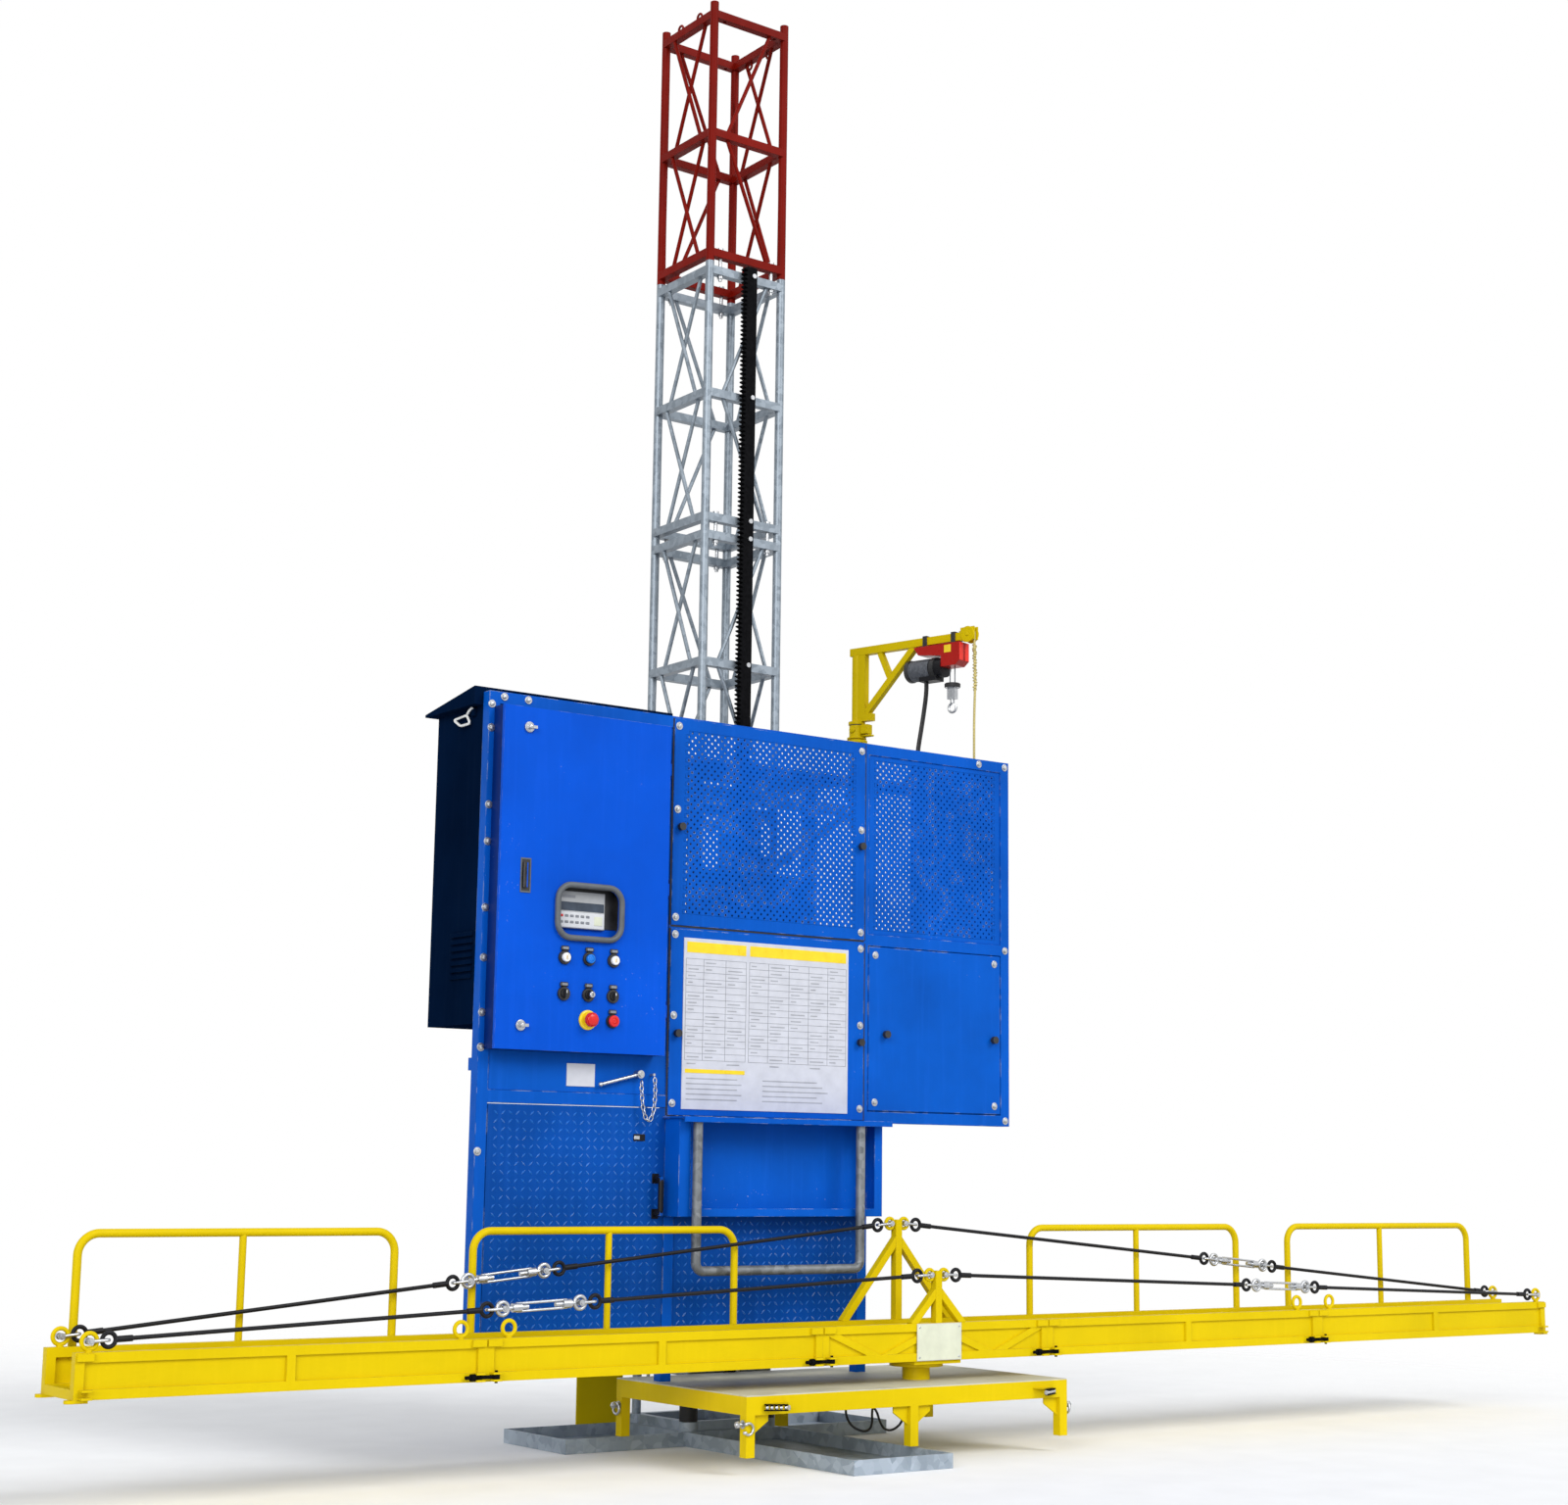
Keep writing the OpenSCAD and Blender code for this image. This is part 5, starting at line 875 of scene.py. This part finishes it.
# chain between the brake lever's bolt and the hook beside it, every second link turned
CHAIN = [(-860, -680, 1826), (-858, -681, 1760), (-850, -682, 1690), (-835, -683, 1640), (-815, -683, 1622),
         (-797, -683, 1642), (-784, -682, 1690), (-778, -680, 1760), (-777, -672, 1836)]
CHAIN_STEPS, LINK_PITCH, LINK_LONG, LINK_WIDE, LINK_R, LINK_STEPS = 40, 23.5, 16, 9.5, 3.0, 20
line = through(CHAIN, CHAIN_STEPS)
gone, count = 0.0, 0
s = Shape(["bright_steel"])
for p, q in zip(line, line[1:]):
    gone += (q - p).length
    if gone >= LINK_PITCH:
        gone -= LINK_PITCH
        t = (q - p).normalized()
        across = t.cross(Vector((0, 1, 0)))
        side = (across if count % 2 else across.cross(t)).normalized()
        angles = [2 * math.pi * i / LINK_STEPS for i in range(LINK_STEPS)]
        link = [q + t * (math.cos(a) * LINK_LONG) + side * (math.sin(a) * LINK_WIDE) for a in angles]
        s.sweep(link, LINK_R, 6, closed=True)
        count += 1
s.done("lever_chain", "carriage")

# hoist: black straps over the arm
STRAP_X, STRAP_W, STRAP_LOW, STRAP_TOP = (497, 697), 30, JIB_Z - 10, JIB_Z + 54
STRAP_IN, STRAP_OUT = 25.2, 29
s = Shape(["black_plastic"], JIB)
for x in STRAP_X:
    s.box(x, x + STRAP_W, -STRAP_OUT, -STRAP_IN, STRAP_LOW, STRAP_TOP)
    s.box(x, x + STRAP_W, STRAP_IN, STRAP_OUT, STRAP_LOW, STRAP_TOP)
    s.box(x, x + STRAP_W, -STRAP_OUT, STRAP_OUT, STRAP_TOP - 3.8, STRAP_TOP)
s.done("hoist_straps", "jib")

# hoist: two front plates with a slit between them, in a brighter red that paints the light on the hoist's
# front, and a blank label on the side
HOIST_END, HOIST_SIDE = 770, -48
FRONT_PLATES, FRONT_LOW, FRONT_TOP = ((-47, -8), (8, 47)), JIB_Z - 119, JIB_Z - 14
LABEL_X0, LABEL_X1, LABEL_LOW, LABEL_TOP = 664, 712, JIB_Z - 66, JIB_Z - 22
s = Shape(["red_painted_light", "yellow_plastic"], JIB)
for y0, y1 in FRONT_PLATES:
    s.box(HOIST_END + OFF, HOIST_END + 2.6, y0, y1, FRONT_LOW, FRONT_TOP, edge=0.8)
s.box(LABEL_X0, LABEL_X1, HOIST_SIDE - 1, HOIST_SIDE - 0.1, LABEL_LOW, LABEL_TOP, "yellow_plastic", 0.3)
s.done("hoist_front", "jib")

# hoist: ribbed motor shell between its two end rings
MOTOR_AXIS, MOTOR_BORE = (0, 0, JIB_Z - 142), 58.2
RIBS, RIB_PITCH, RIB_FROM, RIB_TO = 14, 10, 414, 553
END_RINGS = ([(MOTOR_BORE, 390), (62, 386), (66, 392), (66, 408), (62, 412), (MOTOR_BORE, 412)],
             [(MOTOR_BORE, 560), (64, 562), (64, 590), (MOTOR_BORE, 592)])
shell = [(MOTOR_BORE, RIB_FROM)]
for k in range(RIBS):
    x = RIB_FROM + RIB_PITCH * k
    shell += [(60.0, x), (60.0, x + 5), (62.5, x + 6), (62.5, x + 9)]
shell.append((MOTOR_BORE, RIB_TO))
s = Shape(["motor_grey", "black_plastic"], JIB)
s.ring(MOTOR_AXIS, (1, 0, 0), shell, 36)
for profile in END_RINGS:
    s.ring(MOTOR_AXIS, (1, 0, 0), profile, 36, "black_plastic")
s.done("motor_shell", "jib")

# round cheeks with bolt heads at the jib's tip
CHEEK = [(8, 21.2), (47, 21.2), (47, 24.6), (44, 26.2), (8, 26.2)]
CHEEK_BOLT = [(12, 26.4), (12, 30.2), (9, 32.2)]
tip_axis = (TIP.x, 0, TIP.z)
s = Shape(["yellow_paint"], JIB)
for side in (-1, 1):
    s.ring(tip_axis, (0, side, 0), CHEEK, 40)
    s.lathe(tip_axis, (0, side, 0), CHEEK_BOLT, 6, smooth=False)
s.done("tip_cheeks", "jib")

# jib socket in the jib's yellow: sleeve, skin of the flange, band, clamp block with two pins, round lug
SOCKET_R = 42.0
SKIN_R = SOCKET_R + 0.3
SLEEVE = [(SKIN_R, 3889), (SOCKET_R + 3, 3889), (SOCKET_R + 3, 3978), (SKIN_R, 3978)]
FLANGE = [(SKIN_R, 3872.2), (63, 3872.2), (63, 3888.9), (SKIN_R, 3888.9), (SKIN_R, 3888.3), (60.3, 3888.3),
          (60.3, 3872.8), (SKIN_R, 3872.8)]
BAND = [(SOCKET_R + 2, 3898), (57, 3898), (57, 3906), (SOCKET_R + 2, 3906)]
CLAMP = (SOCKET_R + 1, 96, -26, 26, 3922, 3979)
CLAMP_PINS, CLAMP_PIN = ((0, -14, 3912), (0, 10, 3912)), [(6, 48), (6, 114), (4.5, 117)]
SOCKET_LUG, LUG_Z = [(20, 44), (20, 49), (16, 52)], 3950
s = Shape(["yellow_paint"], JIB)
for profile in (SLEEVE, FLANGE, BAND):
    s.ring((0, 0, 0), UP, profile, 48)
s.box(*CLAMP, edge=3)
for spot in CLAMP_PINS:
    s.lathe(spot, (1, 0, 0), CLAMP_PIN, 12)
s.lathe((0, 0, LUG_Z), OUT, SOCKET_LUG, 24)
s.done("jib_socket_sleeve", "carriage")

# deck fittings: a bolt with a shackle at each of the four corners
(DECK_L, DECK_FRONT, _), (DECK_R, DECK_REAR, DECK_Z) = mm_box("deck_plate")
BOLT_Z, BOLT_IN = DECK_Z - 130, 25
BOLT = [(10, OFF), (10, 30), (9, 30.5), (9, 33), (10, 33.5), (10, 44), (8, 46)]
BOLT_NUT = [(16, 26), (17, 28), (17, 38), (15, 40)]
BOLT_WASHER = [(10, 0.3), (20, 0.3), (20, 4), (10, 4)]
SHACKLE_R, SHACKLE_STEPS = 6.0, 24
SHACKLE_EYE = [(7, 0), (9.5, 2), (9.5, 12), (7, 14)]


def corner_bolt(s, x, y, side):
    s.lathe((x, y, BOLT_Z), (side, 0, 0), BOLT, 16)
    s.lathe((x, y, BOLT_Z), (side, 0, 0), BOLT_NUT, 6, smooth=False)
    s.ring((x, y, BOLT_Z), (side, 0, 0), BOLT_WASHER, 24)


def shackle(s, centre, r, a0, a1, flat_to):
    """Bow from angle a0 to a1 in the upright plane along flat_to, with an eye on both ends."""
    line = []
    for k in range(SHACKLE_STEPS + 1):
        a = math.radians(a0 + (a1 - a0) * k / SHACKLE_STEPS)
        line.append(Vector(centre) + Vector(flat_to) * (r * math.cos(a)) + Vector((0, 0, r * math.sin(a))))
    s.sweep(line, SHACKLE_R, 10)
    for p in (line[0], line[-1]):
        s.lathe(p - Vector((0, 0, 7)), UP, SHACKLE_EYE, 14)


s = Shape(["bright_steel"])
corner_bolt(s, DECK_L, DECK_FRONT + BOLT_IN, -1)
shackle(s, (DECK_L + 8, DECK_FRONT - 8, 212), 26, -140, 120, (1, 0, 0))
for x, y, side in ((DECK_R, DECK_FRONT + BOLT_IN, 1), (DECK_L, DECK_REAR - BOLT_IN, -1),
                   (DECK_R, DECK_REAR - BOLT_IN, 1)):
    corner_bolt(s, x, y, side)
    shackle(s, (x + side * 16, y, 214), 27, 115, 425, (0, 1, 0))
s.done("deck_shackles", "carriage", ["deck_fittings"])

# deck fittings: slanted spring latches along the front edge, each with five rollers and a gusset
LATCH_IN, LATCH_OUT, LATCH_Z, LATCH_LONG = 95, 10, DECK_Z - 56, 112
LATCH_ROLLERS, ROLLER_PITCH = 5, 22
LATCH_ROLLER = [(6, 0), (7.5, 1.5), (7.5, 19.5), (6, 21)]
LATCH_NUT = [(12, 0), (12, 10), (9, 12)]
GUSSET_X, GUSSET_Y, GUSSET_Z = (-6, 118), (12, 71), (16, 19)
GUSSET_FACES = [[2, 1, 0], [3, 4, 5], [0, 1, 4, 3], [1, 2, 5, 4], [2, 0, 3, 5]]
for k, (x, turn, top) in enumerate(((DECK_L + LATCH_IN, -27, 1), (DECK_R - LATCH_IN, 207, -1))):
    spot = Matrix.Translation((x, DECK_FRONT - LATCH_OUT, LATCH_Z))
    spot = spot @ Matrix.Rotation(math.radians(turn), 4, "Z")
    s = Shape(["dark_steel", "bright_steel", "yellow_paint"], spot)
    for z in (-15, 10):
        s.box(0, LATCH_LONG, -9, 9, z, z + 5)
    for i in range(LATCH_ROLLERS):
        x = 13 + ROLLER_PITCH * i
        s.box(x - 5, x + 5, -8, 8, -10.2, 10.2)
        s.lathe((x, -10.5, 0), (0, 1, 0), LATCH_ROLLER, 14, "bright_steel")
    s.lathe((LATCH_LONG - 2, 0, 0), (1, 0, 0), LATCH_NUT, 6, "bright_steel", smooth=False)
    (xa, xb), (ya, yb) = GUSSET_X, GUSSET_Y
    corner = [(xa, top * ya), (xb, top * ya), (xb, top * yb)]
    s.add([(u, w, z) for z in GUSSET_Z for u, w in corner], GUSSET_FACES, "yellow_paint")
    s.done("deck_latch_%d" % (k + 1), "carriage", ["deck_fittings"])

# hook: rubber ring round its block
FALL_X = 690.0
HOOK_RING = [(42.2, 4130), (46, 4134), (46, 4152), (42.2, 4155.5)]
s = Shape(["black_rubber"], JIB)
s.ring((FALL_X, 0, 0), UP, HOOK_RING, 32)
s.done("hook_disc", "hook")

# rope falls of the hoist
FALL_GAP, FALL_TOP, FALL_END, FALL_R, FALL_STEPS = 17.0, 4253.0, 4152.0, 3.5, 12
s = Shape(["dark_zinc"], JIB)
for side in (-1, 1):
    x = FALL_X + side * FALL_GAP
    heights = [FALL_TOP + (FALL_END - FALL_TOP) * k / FALL_STEPS for k in range(FALL_STEPS + 1)]
    s.sweep([(x, 0, z) for z in heights], FALL_R, 10)
falls = s.done("hoist_falls", None, ["hoist_rope"])
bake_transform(falls)

# floor that fades out into the white around it
FLOOR_X, FLOOR_Y, FLOOR_Z, FLOOR_R, FLOOR_SIDES = 1000, -1000, -1, 26000, 64
nt = new_mat("floor")
co = own_place(nt)
far = node(nt, "ShaderNodeVectorMath", {0: co}, operation="LENGTH").outputs["Value"]
color = mix(nt, remap(nt, noise(nt, co, scale=3.0), 0.3, 0.7), (0.90, 0.90, 0.90), (0.94, 0.94, 0.94))
base = node(nt, "ShaderNodeBsdfDiffuse", {"Color": color}).outputs[0]
clear = node(nt, "ShaderNodeBsdfTransparent").outputs[0]
fade = node(nt, "ShaderNodeMixShader", {0: remap(nt, far, 4.0, 9.0), 1: base, 2: clear}).outputs[0]
node(nt, "ShaderNodeOutputMaterial", {0: fade})
s = Shape(["floor"])
angles = [2 * math.pi * k / FLOOR_SIDES for k in range(FLOOR_SIDES)]
s.add([(FLOOR_X + FLOOR_R * math.cos(a), FLOOR_Y + FLOOR_R * math.sin(a), FLOOR_Z) for a in angles],
      [list(range(FLOOR_SIDES))])
mesh = bpy.data.meshes.new("floor")
mesh.from_pydata(s.v, [], s.f)
mesh.materials.append(M["floor"])
floor = bpy.data.objects.new("floor", mesh)
scene.collection.objects.link(floor)

# soft studio light, and plain white for camera, glossy and transmission rays
world = bpy.data.worlds.new("world")
scene.world = world
world.use_nodes = True
nt = world.node_tree
nt.nodes.clear()
rays = node(nt, "ShaderNodeLightPath").outputs
path = most(nt, most(nt, rays["Is Camera Ray"], rays["Is Glossy Ray"]), rays["Is Transmission Ray"])
white = node(nt, "ShaderNodeBackground", {"Color": (1, 1, 1, 1), "Strength": 1.0}).outputs[0]
direction = node(nt, "ShaderNodeTexCoord").outputs["Generated"]
high = node(nt, "ShaderNodeSeparateXYZ", {0: direction}).outputs["Z"]
sky = mix(nt, remap(nt, high, -0.2, 0.9), (0.62, 0.66, 0.72), (0.95, 0.97, 1.0))
soft = node(nt, "ShaderNodeBackground", {"Color": sky, "Strength": 0.62}).outputs[0]
both = node(nt, "ShaderNodeMixShader", {0: path, 1: soft, 2: white}).outputs[0]
node(nt, "ShaderNodeOutputWorld", {0: both})


def sun(name, towards, energy, angle):
    light = bpy.data.lights.new(name, "SUN")
    light.energy = energy
    light.angle = math.radians(angle)
    obj = bpy.data.objects.new(name, light)
    obj.rotation_euler = Vector(towards).to_track_quat("-Z", "Y").to_euler()
    scene.collection.objects.link(obj)


sun("key", (-0.30, 0.78, -0.62), energy=1.6, angle=30)
sun("fill", (0.75, 0.60, -0.35), energy=1.8, angle=40)
